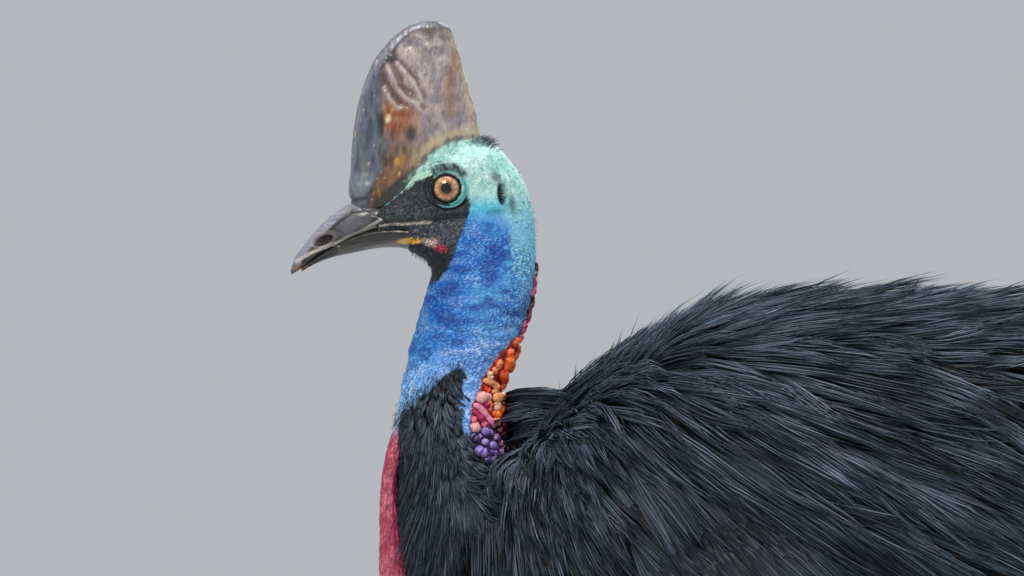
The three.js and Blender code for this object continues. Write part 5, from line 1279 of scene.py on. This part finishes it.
# A lie with each feather turned a little to one side or the other.
def strewn(lie, spread, count, draw):
    yaw = draw.normal(0, math.radians(spread), count)

    def turned(at, angle):
        way = lie(at, angle)
        cosine, sine = np.cos(yaw), np.sin(yaw)
        return np.stack([way[:, 0] * cosine + way[:, 2] * sine, way[:, 1] + 0.3 * sine,
                         way[:, 2] * cosine - way[:, 0] * sine], -1)

    return turned


def buildBodyCoat():
    size = coat["body"]
    draw = np.random.default_rng(coat["seed"])
    startShare = neckFoot + (1 - neckFoot) * 0.11

    def keep(here, angle, share):
        fromCrown = turnApart(angle, 0)
        front = ease(startShare, startShare + 0.06, share + 0.02 * np.cos(angle) - 0.01)
        vent = 1 - 0.7 * ease(0.88, 0.93, share) * ease(1.7, 2.1, fromCrown)
        thick = 1 + 1.1 * ease(-60, -330, here[:, 0]) - 0.25 * ease(2.2, 2.8, fromCrown)
        beside = np.maximum(ease(-1, 5, here[:, 0] - lineX(marks["mantleFront"], here[:, 2])),
                            ease(802, 796, here[:, 2]))
        return front * vent * thick * beside * (here[:, 0] > -480)

    share, angle, here = drawRoots(size["count"], startShare, 0.985, keep, draw, fromTop=False)
    count = len(share)
    fromCrown = turnApart(angle, 0)
    early = ease(-200, -380, here[:, 0])
    length = draw.uniform(*size["length"], count) * (1 - 0.42 * early) * (1 - 0.2 * ease(0.87, 0.94, share))
    lift = size["lift"] * draw.uniform(0.35, 1.1, count) * (1 - 0.3 * ease(2.0, 2.7, fromCrown))
    ruffled = (draw.random(count) < 0.4) & (fromCrown < 0.7)
    length = np.where(ruffled, length * draw.uniform(0.45, 0.65, count), length)
    lift = np.where(ruffled, size["lift"] * draw.uniform(0.7, 1.2, count), lift)
    half = size["half"] * (1 - 0.3 * early) * draw.uniform(0.8, 1.15, count)
    paths, leader = clumped(combPaths(share, angle, length, strewn(bodyLie, 7, count, draw)), 0.6)
    lift = lift * 0.6 + lift[leader] * 0.4
    makeCoat("coat_body", coatUnwrap(share, angle), paths, leader, size, lift, half, draw)


# The mantle's collar fans out from one place beside the nape, and a feather slopes as the line from there.
def collarLie(at, angle):
    focusX, focusZ = seen(coat["collarFocus"])[0]
    turn = np.arctan2(focusZ - at[:, 2], np.maximum(at[:, 0] - focusX, 4))
    fan = np.where(turn > 0, 1.34 * (1 - np.exp(-np.maximum(turn, 0) / 0.44)), turn)
    flank = np.radians(np.interp(at[:, 0], flankSlopes[:, 0], flankSlopes[:, 1]))
    far = ease(45, 120, np.hypot(at[:, 0] - focusX, at[:, 2] - focusZ))
    slope = fan + (np.minimum(flank, 1.15) - fan) * far
    return np.stack([np.cos(slope), slope * 0, -np.sin(slope)], -1)


def buildCollar():
    size = coat["collar"]
    draw = np.random.default_rng(coat["seed"] + 8)

    def keep(here, angle, share):
        x, fromCrown = here[:, 0], turnApart(angle, 0)
        behind = ease(-1, 5, x - lineX(marks["mantleFront"], here[:, 2])) * ease(-290, -330, x)
        return behind * ease(0.35, 0.6, fromCrown) * ease(2.2, 1.9, fromCrown)

    share, angle, here = drawRoots(size["count"], neckFoot, neckFoot + (1 - neckFoot) * 0.3, keep, draw)
    count = len(share)
    length = draw.uniform(*size["length"], count)
    paths, leader = clumped(combPaths(share, angle, length, strewn(collarLie, 7, count, draw)), 0.5)
    lift = draw.uniform(*size["lift"], count) * (0.5 + 0.5 * ease(-377, -345, here[:, 0]))
    half = size["half"] * draw.uniform(0.7, 1.1, count)
    makeCoat("coat_collar", coatUnwrap(share, angle), paths, leader, size, lift, half, draw, 0.75)


# The mantle's three kinds of feathers. Top ones are rooted on the nape and before the back, and lean back up
# to the outline, which fills the dip there. Side ones lie under the outline and sweep back. Front ones are
# rooted along the bare nape's rear edge and fan out over the others: level at the top, steep at the foot.
def buildMantle():
    size = coat["mantle"]
    draw = np.random.default_rng(coat["seed"] + 7)
    top, beside, front = size["top"], size["side"], size["front"]

    def outlineZ(x):
        return np.interp(x, marks["mantleTop"][:, 0], marks["mantleTop"][:, 1])

    share = neckFoot + (1 - neckFoot) * draw.uniform(0.015, 0.33, top)
    angle = draw.normal(0, 0.3, top)
    root = formPlace(birdRows, share, angle)
    room = np.maximum(outlineZ(root[:, 0]) - root[:, 2], 4)
    length = draw.uniform(*size["length"], top)
    rising = np.arcsin(np.clip(room * draw.uniform(0.5, 0.98, top) / length, -0.2, 0.75))
    slope = draw.normal(0, 0.07, top) - rising
    outward = np.sin(angle) * 0.5 + draw.normal(0, 0.14, top)

    sideX = draw.uniform(-370, -262, beside)
    below = draw.uniform(0, 1, beside)
    sign = draw.choice([-1, 1], beside)
    sideY = sign * (42 + 50 * ease(-365, -280, sideX)) * np.sqrt(0.04 + 0.8 * below)
    sideRoot = np.stack([sideX, sideY, outlineZ(sideX) - 15 - 48 * below], -1)
    fan = -np.arcsin(np.clip(collarLie(sideRoot, sign)[:, 2], -0.94, 0.94))
    alongTop = -0.32 - 0.3 * ease(-350, -325, sideX)
    sideSlope = alongTop + (fan - alongTop) * ease(0.05, 0.75, below) + draw.normal(0, 0.07, beside)

    frontZ = draw.uniform(*size["frontHeights"], front)
    frontX = lineX(marks["mantleFront"], frontZ) + draw.uniform(0, 13, front)
    frontShare, frontAngle = findOnSide(birdRows, frontX, frontZ, 0.42, neckFoot + 0.1)
    frontSign = draw.choice([-1, 1], front)
    frontRoot = formPlace(birdRows, frontShare, frontAngle * frontSign)
    frontSlope = np.radians(np.interp(frontZ, *size["frontSlopes"])) + draw.normal(0, 0.09, front)
    lower = ease(877, 852, frontZ)

    sideOut = sign * (0.2 + 0.35 * below) + draw.normal(0, 0.1, beside)
    frontOut = frontSign * (draw.uniform(0.3, 0.7, front) + 0.25 * lower)
    sideLength = draw.uniform(*size["length"], beside)
    frontLength = draw.uniform(*size["frontLength"], front)
    lift, sideLift = draw.uniform(2, 9, top), draw.uniform(9, 19, beside)
    frontLift = draw.uniform(3, 10, front) + 7 * lower
    kinds = [(root, slope, outward, length, np.full(top, 0.08), angle, share, lift),
             (sideRoot, sideSlope, sideOut, sideLength, 0.05 + 0.2 * below, sign * 0.9,
              np.full(beside, neckFoot + 0.02), sideLift),
             (frontRoot, frontSlope, frontOut, frontLength, 0.1 + 0.2 * ease(880, 840, frontZ),
              frontSign * 1.1, frontShare, frontLift)]
    values = [np.concatenate(parts) for parts in zip(*kinds)]
    order = np.argsort(values[0][:, 0])
    root, slope, outward, length, droop, angle, share, lift = (value[order] for value in values)
    way = unit(np.stack([np.cos(slope), outward, -np.sin(slope)], -1))
    up = squareTo(np.stack([angle * 0, np.sin(angle), np.cos(angle)], -1), way)
    paths, leader = clumped(freePaths(root, way, up, length, droop), 0.35)
    half = size["half"] * draw.uniform(0.7, 1.2, len(root))
    makeCoat("coat_mantle", coatUnwrap(share, angle), paths, leader, size, lift, half, draw, 0.7)


def buildNeckCoat():
    size = coat["neck"]
    draw = np.random.default_rng(coat["seed"] + 1)
    shortest, longest = size["length"]

    def keep(here, angle, share):
        covered = coatShare(here, 7)
        return covered * ease(-0.05, 0.25, covered) * (here[:, 0] < -330)

    share, angle, here = drawRoots(size["count"], 0.4, neckFoot + (1 - neckFoot) * 0.2, keep, draw)
    x, z = here[:, 0], here[:, 2]
    count = len(share)
    deep = np.minimum(lineDistance(x, z, marks["featherFront"]), lineDistance(x, z, marks["featherBack"]))
    grown = np.minimum(ease(0, 34, deep) + 0.08, 1) * (0.35 + 0.65 * ease(915, 800, z))
    ahead = ease(850, 770, z) * ease(-430, -462, x)
    length = (shortest + (longest - shortest) * grown) * draw.uniform(0.75, 1.2, count)
    lift = (2 + size["lift"] * grown + 18 * ahead) * draw.uniform(0.5, 1.2, count)
    half = size["half"] * (0.5 + 0.6 * grown) * draw.uniform(0.8, 1.2, count)
    paths, leader = clumped(combPaths(share, angle, length, strewn(neckLie, 9, count, draw)), 0.45)
    makeCoat("coat_neck", coatUnwrap(share, angle), paths, leader, size, lift, half, draw)


# Bristles: thin single hairs on the crown behind the casque, along its foot, on the lores and round the ear.
# Each patch gives a picture line, how many, how long, the way they point and how far they are scattered.
bristles = {"wide": 0.55, "strands": 1, "patches": [
    ([(466, 138), (478, 139), (492, 147)], 280, (9, 17), (1.0, 0.5), 6),
    ([(352, 212), (384, 192), (417, 169), (443, 145), (465, 138)], 230, (4, 8), (0.7, 0.5), 3),
    ([(396, 212), (412, 205), (428, 196)], 150, (3, 6), (0.9, -0.5), 12),
    ([(500, 186), (499, 195), (502, 204)], 40, (4, 9), (1.0, -0.35), 3),
    ([(476, 152), (500, 168), (520, 200), (528, 240)], 190, (4, 8), (0.7, -0.6), 14),
    ([(408, 262), (428, 268), (444, 262)], 110, (4, 8), (0.6, -0.9), 8),
    ([(462, 362), (449, 370), (430, 381), (411, 397), (401, 414), (397, 432)], 620, (6, 12), (-0.2, -1.0), 8),
    ([(404, 300), (440, 330), (480, 300), (500, 340)], 120, (3, 6), (0.3, -1.0), 30),
]}


def buildBristles():
    draw = np.random.default_rng(coat["seed"] + 11)
    patches = []
    for line, number, reach, (ahead, up), scatter in bristles["patches"]:
        flat = seen(line)
        place = draw.random(number) * (len(flat) - 1)
        start = np.minimum(place.astype(int), len(flat) - 2)
        at = flat[start] + (flat[start + 1] - flat[start]) * (place - start)[:, None]
        at = at + draw.normal(0, scatter * 0.5, (number, 2))
        share, angle = findOnSide(birdRows, at[:, 0], at[:, 1], 0.02, 0.62)
        angle = angle * draw.choice([-1, 1], number)
        root, out, _, _ = formOut(birdRows, share, angle)
        way = np.stack([np.full(number, ahead), draw.normal(0, 0.2, number), np.full(number, up)], -1)
        way = unit(unit(way + draw.normal(0, 0.22, (number, 3))) + 0.45 * out)
        patches.append((root, out, way, draw.uniform(*reach, number)))
    values = [np.concatenate(parts) for parts in zip(*patches)]
    order = np.argsort(values[0][:, 0])
    root, out, way, length = (value[order] for value in values)
    count = len(root)
    paths = freePaths(root, way, squareTo(out, way), length, 0.2)
    unwrap = np.stack([0.5 + root[:, 0] / 1400, (root[:, 2] - 700) / 700], -1)
    lift, half = np.full(count, 0.6), np.full(count, 0.1)
    makeCoat("bristles", unwrap, paths, np.arange(count), bristles, lift, half, draw)


leg = {
    "spread": 96, "stride": 24, "back": 42,  # a foot's distance from the middle, its shift, the legs' shift
    "skin": "#6b6a60", "pale": "#9a968a", "dark": "#3c3b37", "shadeUnderThighCoat": "#1c1e22", "clawDark": "#2a2623",
    "clawPale": "#6b6056", "clawTip": "#8d8173", "thighGrid": (56, 52), "lowerGrid": (190, 60),
    "toeRows": 60, "toeAround": 48, "clawRows": 44, "clawAround": 30, "toeHeights": [30, 24, 18, 15, 13, 12],
}
thighRows = [
    [4, 70, 690, 60, 40], [6, 88, 640, 84, 56], [10, 100, 590, 92, 64], [14, 102, 540, 88, 64],
    [24, 100, 490, 74, 57], [38, 98, 445, 54, 45], [50, 96, 412, 38, 35], [56, 96, 385, 31, 29]]
lowerLegRows = [
    [61, 96, 362, 27, 25], [66, 96, 342, 31, 27], [67, 96, 326, 33, 28], [66, 96, 306, 31, 27],
    [62, 96, 288, 25, 22.5], [56, 96, 262, 21, 19], [44, 96, 190, 19.5, 18], [32, 96, 115, 20, 19],
    [24, 96, 70, 23, 23], [20, 96, 44, 25, 27], [22, 96, 20, 22, 25], [24, 96, 1.5, 17.5, 19.5]]
toes = [
    {"name": "middle", "turn": 4, "length": 150, "root": 21, "tip": 12.5, "drop": 8,
     "claw": 48, "clawRoot": 9.5},
    {"name": "inner", "turn": -23, "length": 88, "root": 18, "tip": 12.5, "drop": 7,
     "claw": 112, "clawRoot": 10.5},
    {"name": "outer", "turn": 36, "length": 112, "root": 18, "tip": 11.5, "drop": 7,
     "claw": 42, "clawRoot": 8.5},
]


# The legs stand behind their tables' places, and each foot a short stride off the middle.
def legX(side, x, z):
    lean = leg["stride"] * (1 if side == "right" else -1)
    return x + leg["back"] + lean * (1 - np.clip(np.asarray(z) / 560, 0, 1))


def legStops(side, rows):
    return np.array([[legX(side, x, z), sides[side] * y, z, deep, wide] for x, y, z, deep, wide in rows])


def toeWay(side, toe):
    heading = math.radians(toe["turn"])
    ahead = np.array([-math.cos(heading), sides[side] * math.sin(heading), 0])
    return ahead, np.array([legX(side, 20, 30), sides[side] * leg["spread"], 0])


# A toe's half thickness and the height of its middle, by the share of its length: it narrows to its tip.
def toeSection(toe, f):
    thick = toe["root"] + (toe["tip"] - toe["root"]) * np.minimum(1, f * 1.25)
    height = np.interp(f, np.linspace(0, 1, len(leg["toeHeights"])), leg["toeHeights"])
    return thick, height


# A toe from the ankle to the claw: thick at the ball, with pads that swell between the joints and lie flat on
# the floor.
def toeGrid(side, toe):
    ahead, ankle = toeWay(side, toe)
    f = np.linspace(0, 1, leg["toeRows"])
    thick, height = toeSection(toe, f)
    thick = thick + 0.9 * np.sin(f * 5 * fullTurn)
    thick = thick * np.where(f > 0.93, np.sqrt(np.maximum(1 - ((f - 0.93) / 0.075) ** 2, 0.05)), 1)
    centre = ankle + ahead * (8 + f * (toe["length"] - 8))[:, None]
    centre[:, 2] = np.maximum(height, thick - 1.2)
    turn = turnsRound(leg["toeAround"])
    grid = centre[:, None] + np.cross(ahead, [0, 0, 1]) * (np.cos(turn)[None, :, None] * thick[:, None, None])
    grid = grid + np.array([0, 0, 1]) * (np.sin(turn)[None, :, None] * thick[:, None, None])
    grid[..., 2] = np.maximum(grid[..., 2], 0.15)
    return grid


# One plate: a shell over a place with a way out, curved across, thin at its root and proud at its front edge,
# closed underneath.
def plate(centre, out, ahead, halfWidth, halfLength, bend, high):
    u, v = np.meshgrid(np.linspace(-1, 1, 7), np.linspace(-1, 1, 5), indexing="ij")
    across = np.cross(ahead, out)
    outline = np.sqrt(np.clip(1 - 0.35 * np.abs(v) ** 3, 0, 1))
    turn = u * outline * halfWidth / bend
    crown = (1 - 0.55 * u**4) * (1 - 0.35 * v**4)
    top = bend - bend * (1 - np.cos(turn)) + high * crown * (0.55 + 0.45 * v)
    place = centre + across * (np.sin(turn) * bend)[..., None] + ahead * (v * halfLength)[..., None]
    upper = place + out * (top - bend)[..., None]
    lower = place + out * (np.cos(turn) * bend - bend - 2.5)[..., None]
    index = np.arange(u.size).reshape(u.shape)
    a, b, c, d = index[:-1, :-1], index[:-1, 1:], index[1:, 1:], index[1:, :-1]
    faces = np.stack([a, d, c, b], -1).reshape(-1, 4)
    under = np.stack([a, b, c, d], -1).reshape(-1, 4) + u.size
    rim = np.concatenate([index[0, :], index[1:, -1], index[-1, -2::-1], index[-2:0:-1, 0]])
    nextRim = np.roll(rim, -1)
    wall = np.stack([rim, nextRim, nextRim + u.size, rim + u.size], -1)
    return np.vstack([upper.reshape(-1, 3), lower.reshape(-1, 3)]), [np.vstack([faces, under, wall])]


def buildLegs(side):
    tone = tonesOf(leg)
    parts = []
    grids = [barGrid(legStops(side, thighRows), *leg["thighGrid"]),
             barGrid(legStops(side, thighRows[-2:] + lowerLegRows), *leg["lowerGrid"])]
    for grid in grids + [toeGrid(side, toe) for toe in toes]:
        z = grid[..., 2]
        # the top of the leg, under the thigh's coat, is painted near black as the shade beneath the feathers
        colour = layered(
            tone["skin"], tone,
            ("pale", ease(0.35, 0.75, softNoise(grid, 26, 121))),
            ("dark", ease(40, 8, z) * 0.4),
            ("shadeUnderThighCoat", ease(372, 400, z)))
        grain = dome(cellNoise(grid, 5.0, 123))
        grid = grid + gridOut(grid) * (0.9 * (grain - 1) * ease(400, 370, z))[..., None]
        grid[..., 2] = np.maximum(grid[..., 2], 0.1)
        parts.append(gridPart(grid, colour * (0.75 + 0.35 * grain)[..., None]))
    shank = readRows(legStops(side, lowerLegRows), np.linspace(0, 1, 300))
    for number, z in enumerate(np.arange(300, 34, -11.5)):
        row = shank[np.argmin(np.abs(shank[:, 2] - z))]
        lean = 0.14 if 70 < z < 290 else 0.0
        ahead = unit(np.array([-lean, 0, -1.0]))
        out = unit(np.array([-1.0, 0, lean]))
        wide = row[4] * (0.86 + 0.06 * math.sin(number * 2.3))
        shell, faces = plate(row[:3] + out * (row[3] - 0.4), out, ahead, wide, 7.0, row[3], 1.7)
        parts.append((shell, faces, tone["pale"] * (0.55 + 0.25 * math.sin(number * 1.7) ** 2)))
    for toe in toes:
        ahead, ankle = toeWay(side, toe)
        count = round((toe["length"] - 14) / 8.2)
        for k in range(count):
            f = (k + 0.6) / count
            thick, height = toeSection(toe, f)
            above = max(height, thick - 1.2) + thick - 0.6
            centre = ankle + ahead * (8 + f * (toe["length"] - 8)) + np.array([0, 0, above])
            shell, faces = plate(centre, np.array([0, 0, 1.0]), ahead, thick * 0.85, 5.4, thick, 1.4)
            parts.append((shell, faces, tone["pale"] * (0.5 + 0.2 * math.sin(k * 2.1) ** 2)))
    nodes = ["thigh", "shank", "tarsus", "toe_middle", "toe_inner", "toe_outer"]
    nodes = [f"{node}_{side}" for node in nodes]
    makePiece("leg_skin_" + side, *joinParts(parts), legSkin, "leg_scales", nodes)


def buildClaws(side):
    tone = tonesOf(leg)
    claws = []
    for toe in toes:
        ahead, ankle = toeWay(side, toe)
        f = np.linspace(0, 1, leg["clawRows"])
        centre = ankle + ahead * (toe["length"] - 12 + f * (toe["claw"] + 12))[:, None]
        centre[:, 2] = toe["tip"] + 1.5 - toe["drop"] * f**2
        radius = (toe["clawRoot"] * (1 - f) ** 0.75 + 0.7)[:, None]
        turn = turnsRound(leg["clawAround"])
        across = (np.cos(turn)[None, :] * 0.85 * radius)[..., None]
        above = ((np.sin(turn) * np.where(np.sin(turn) > 0, 1.0, 0.82))[None, :] * radius)[..., None]
        grid = centre[:, None] + np.cross(ahead, [0, 0, 1]) * across + np.array([0, 0, 1]) * above
        grid[..., 2] = np.maximum(grid[..., 2], 0.1)
        colour = layered(
            tone["clawDark"], tone,
            ("clawPale", ease(0.4, 0.8, softNoise(grid, (12, 2, 2), 131)) * 0.8),
            ("clawTip", (f**3)[:, None] * 0.6))
        claws.append(gridPart(grid, colour))
    makePiece("claws_" + side, *joinParts(claws), clawKeratin, "claw_horn",
              [f"claw_{toe['name']}_{side}" for toe in toes])


# The thigh's feathers hang down it all round, out to its surface at each height.
def buildThighCoat(side):
    size = coat["thigh"]
    draw = np.random.default_rng(coat["seed"] + (3 if side == "right" else 4))
    count = size["count"]
    share = np.sort(draw.uniform(0.38, 0.93, count))
    turn = draw.uniform(0, fullTurn, count)
    length = draw.uniform(*size["length"], count) * (1 - 0.3 * ease(0.6, 0.95, share))
    tall = thighRows[0][2] - thighRows[-1][2]
    f = np.linspace(0, 1, coat["steps"] + 1)
    along = share[:, None] + length[:, None] * f / tall
    run = readRows(legStops(side, thighRows), along)
    out = np.stack([np.cos(turn), np.sin(turn), turn * 0], -1)[:, None] * np.ones((1, len(f), 1))
    ways = run[..., :3] + out * np.stack([run[..., 3], run[..., 4], run[..., 3]], -1)
    ways[..., 2] -= np.maximum(along - 1, 0) * tall
    paths, leader = clumped((ways, out), 0.5)
    lift = size["lift"] * draw.uniform(0.5, 1.0, count)
    half = np.full(count, size["half"])
    makeCoat("coat_thigh_" + side, coatUnwrap(share, turn), paths, leader, size, lift, half, draw)


# A wing: a small stub under long feathers, with five bare quills like black canes.
wing = {"x": -150, "y": 194, "z": 712, "turn": 0.5, "half": (50, 18, 32), "quills": 5, "quillLength": 300,
        "quillThick": 2.7, "quill": "#0f1012", "stub": "#101317"}


def buildWing(side):
    s = sides[side]
    turn, across = np.meshgrid(np.linspace(0.05, 3.09, 30), turnsRound(40), indexing="ij")
    long, flat, tall = wing["half"]
    stub = np.stack([np.sin(turn) * np.cos(across) * long, np.sin(turn) * np.sin(across) * flat,
                     np.cos(turn) * tall], -1)
    cosine, sine = math.cos(wing["turn"]), math.sin(wing["turn"])
    stub = np.stack([stub[..., 0] * cosine + stub[..., 2] * sine, stub[..., 1],
                     -stub[..., 0] * sine + stub[..., 2] * cosine], -1)
    tone = tonesOf(wing)
    parts = [gridPart(stub + [wing["x"], s * wing["y"], wing["z"]], tone["stub"])]
    f = np.linspace(0, 1, 9)
    for i in range(wing["quills"]):
        spread = i - 2
        along = f * (wing["quillLength"] - 22 * abs(spread))
        x = -140 + 9 * i + along * 0.62 + spread * 10 * f
        z = 700 + 3 * i - along * 0.72 + spread * 13 * f + 40 * f**2
        y = s * (205 + 26 * np.sin(np.minimum(f, 0.8) * 2.2) - 8 * f)
        thick = wing["quillThick"] * (1 - 0.78 * f)
        parts.append(gridPart(barGrid(np.stack([x, y, z, thick, thick], -1), 60, 12), tone["quill"]))
    makePiece("wing_quills_" + side, *joinParts(parts), clawKeratin, "plumage", (f"wing_{side}",))


def buildWingCoat(side):
    s = sides[side]
    size = coat["wing"]
    draw = np.random.default_rng(coat["seed"] + (21 if side == "right" else 22))
    count = size["count"]
    startX = np.sort(draw.uniform(-262, -96, count))
    startZ = draw.uniform(678, 790, count) - 0.35 * (startX + 150)
    fromMiddle = np.hypot((startX - wing["x"]) / 62, (startZ - wing["z"]) / 42)
    startY = s * (180 + 33 * ease(1.7, 0.9, fromMiddle))
    slope = np.radians(46 + draw.normal(0, 7, count))
    way = np.stack([np.cos(slope), np.full(count, 0.02 * s), -np.sin(slope)], -1)
    root = np.stack([startX, startY, startZ], -1)
    out = np.tile([0.0, s, 0.0], (count, 1))
    paths, leader = clumped(freePaths(root, unit(way), out, draw.uniform(*size["length"], count), 0.05), 0.5)
    lift = draw.uniform(*size["lift"], count)
    half = size["half"] * draw.uniform(0.7, 1.1, count)
    unwrap = np.stack([0.5 + startX / 600, 0.5 + (startZ - wing["z"]) / 600], -1)
    makeCoat("coat_wing_" + side, unwrap, paths, leader, size, lift, half, draw, 0.8)


buildSkin()
buildCasque()
buildUpperBill()
buildLowerBill()
buildCaruncles()
for side in sides:
    buildEye(side)
    buildLids(side)
    buildWattle(side)
    buildLegs(side)
    buildClaws(side)
    buildWing(side)
print("skin, horn and legs made")
buildBodyCoat()
buildMantle()
buildCollar()
buildNeckCoat()
for side in sides:
    buildThighCoat(side)
    buildWingCoat(side)
buildBristles()
print("coat made")

# A plain pale floor, a pale room, and soft lights as in a studio.
studio = {"floor": "#c9c8c5", "floorRadius": 7, "room": "#dfe3e8", "roomStrength": 0.62, "lens": 200,
          "sensor": 36, "frameWidth": 0.973, "middleX": -368.6, "middleZ": 990.5,
          # each softbox: its place, size, power and colour
          "softboxes": {"key": ((-1.3, -2.4, 3.6), 1.3, 88, "#fff8ee"),
                        "sky": ((0.6, 0.4, 4.2), 2.4, 115, "#e4eeff"),
                        "fill": ((2.4, -3.2, 1.8), 2.4, 22, "#f2f5ff"),
                        "rear": ((0.8, 3.2, 2.6), 2.0, 40, "#ffffff")}}
floorTone = (*toLinear(studio["floor"]), 1)
floorFinish = newFinish("paleStudioFloor", {"Roughness": 0.8, "Base Color": floorTone})[0]
floorMesh = bpy.data.meshes.new("floor")
turns = turnsRound(96)
ring = np.stack([np.cos(turns), np.sin(turns), turns * 0], -1) * studio["floorRadius"]
floorMesh.from_pydata(ring.tolist(), [], [range(len(ring))])
floorMesh.materials.append(floorFinish)
floor = bpy.data.objects.new("floor", floorMesh)
bpy.context.scene.collection.objects.link(floor)

room = bpy.data.worlds.new("room")
room.use_nodes = True
setInputs(room.node_tree.nodes["Background"],
          {"Color": (*toLinear(studio["room"]), 1), "Strength": studio["roomStrength"]})
bpy.context.scene.world = room
bpy.context.scene.view_settings.view_transform = "Standard"
middle = np.array([(studio["middleX"] + shiftX) / 1000, 0, studio["middleZ"] / 1000])

for name, (place, size, power, code) in studio["softboxes"].items():
    light = bpy.data.lights.new(name, "AREA")
    light.shape = "DISK"
    light.size = size
    light.energy = power
    light.color = toLinear(code)
    lamp = bpy.data.objects.new(name, light)
    lamp.location = place
    aim = middle - np.array(place)
    lamp.rotation_euler = (math.atan2(math.hypot(aim[0], aim[1]), -aim[2]), 0, math.atan2(-aim[0], aim[1]))
    bpy.context.scene.collection.objects.link(lamp)

camera = bpy.data.cameras.new("camera")
camera.lens = studio["lens"]
camera.sensor_width = studio["sensor"]
camera.clip_end = 60
viewer = bpy.data.objects.new("camera", camera)
viewer.location = (middle[0], -studio["frameWidth"] * studio["lens"] / studio["sensor"], middle[2])
viewer.rotation_euler = (math.pi / 2, 0, 0)
bpy.context.scene.collection.objects.link(viewer)
bpy.context.scene.camera = viewer
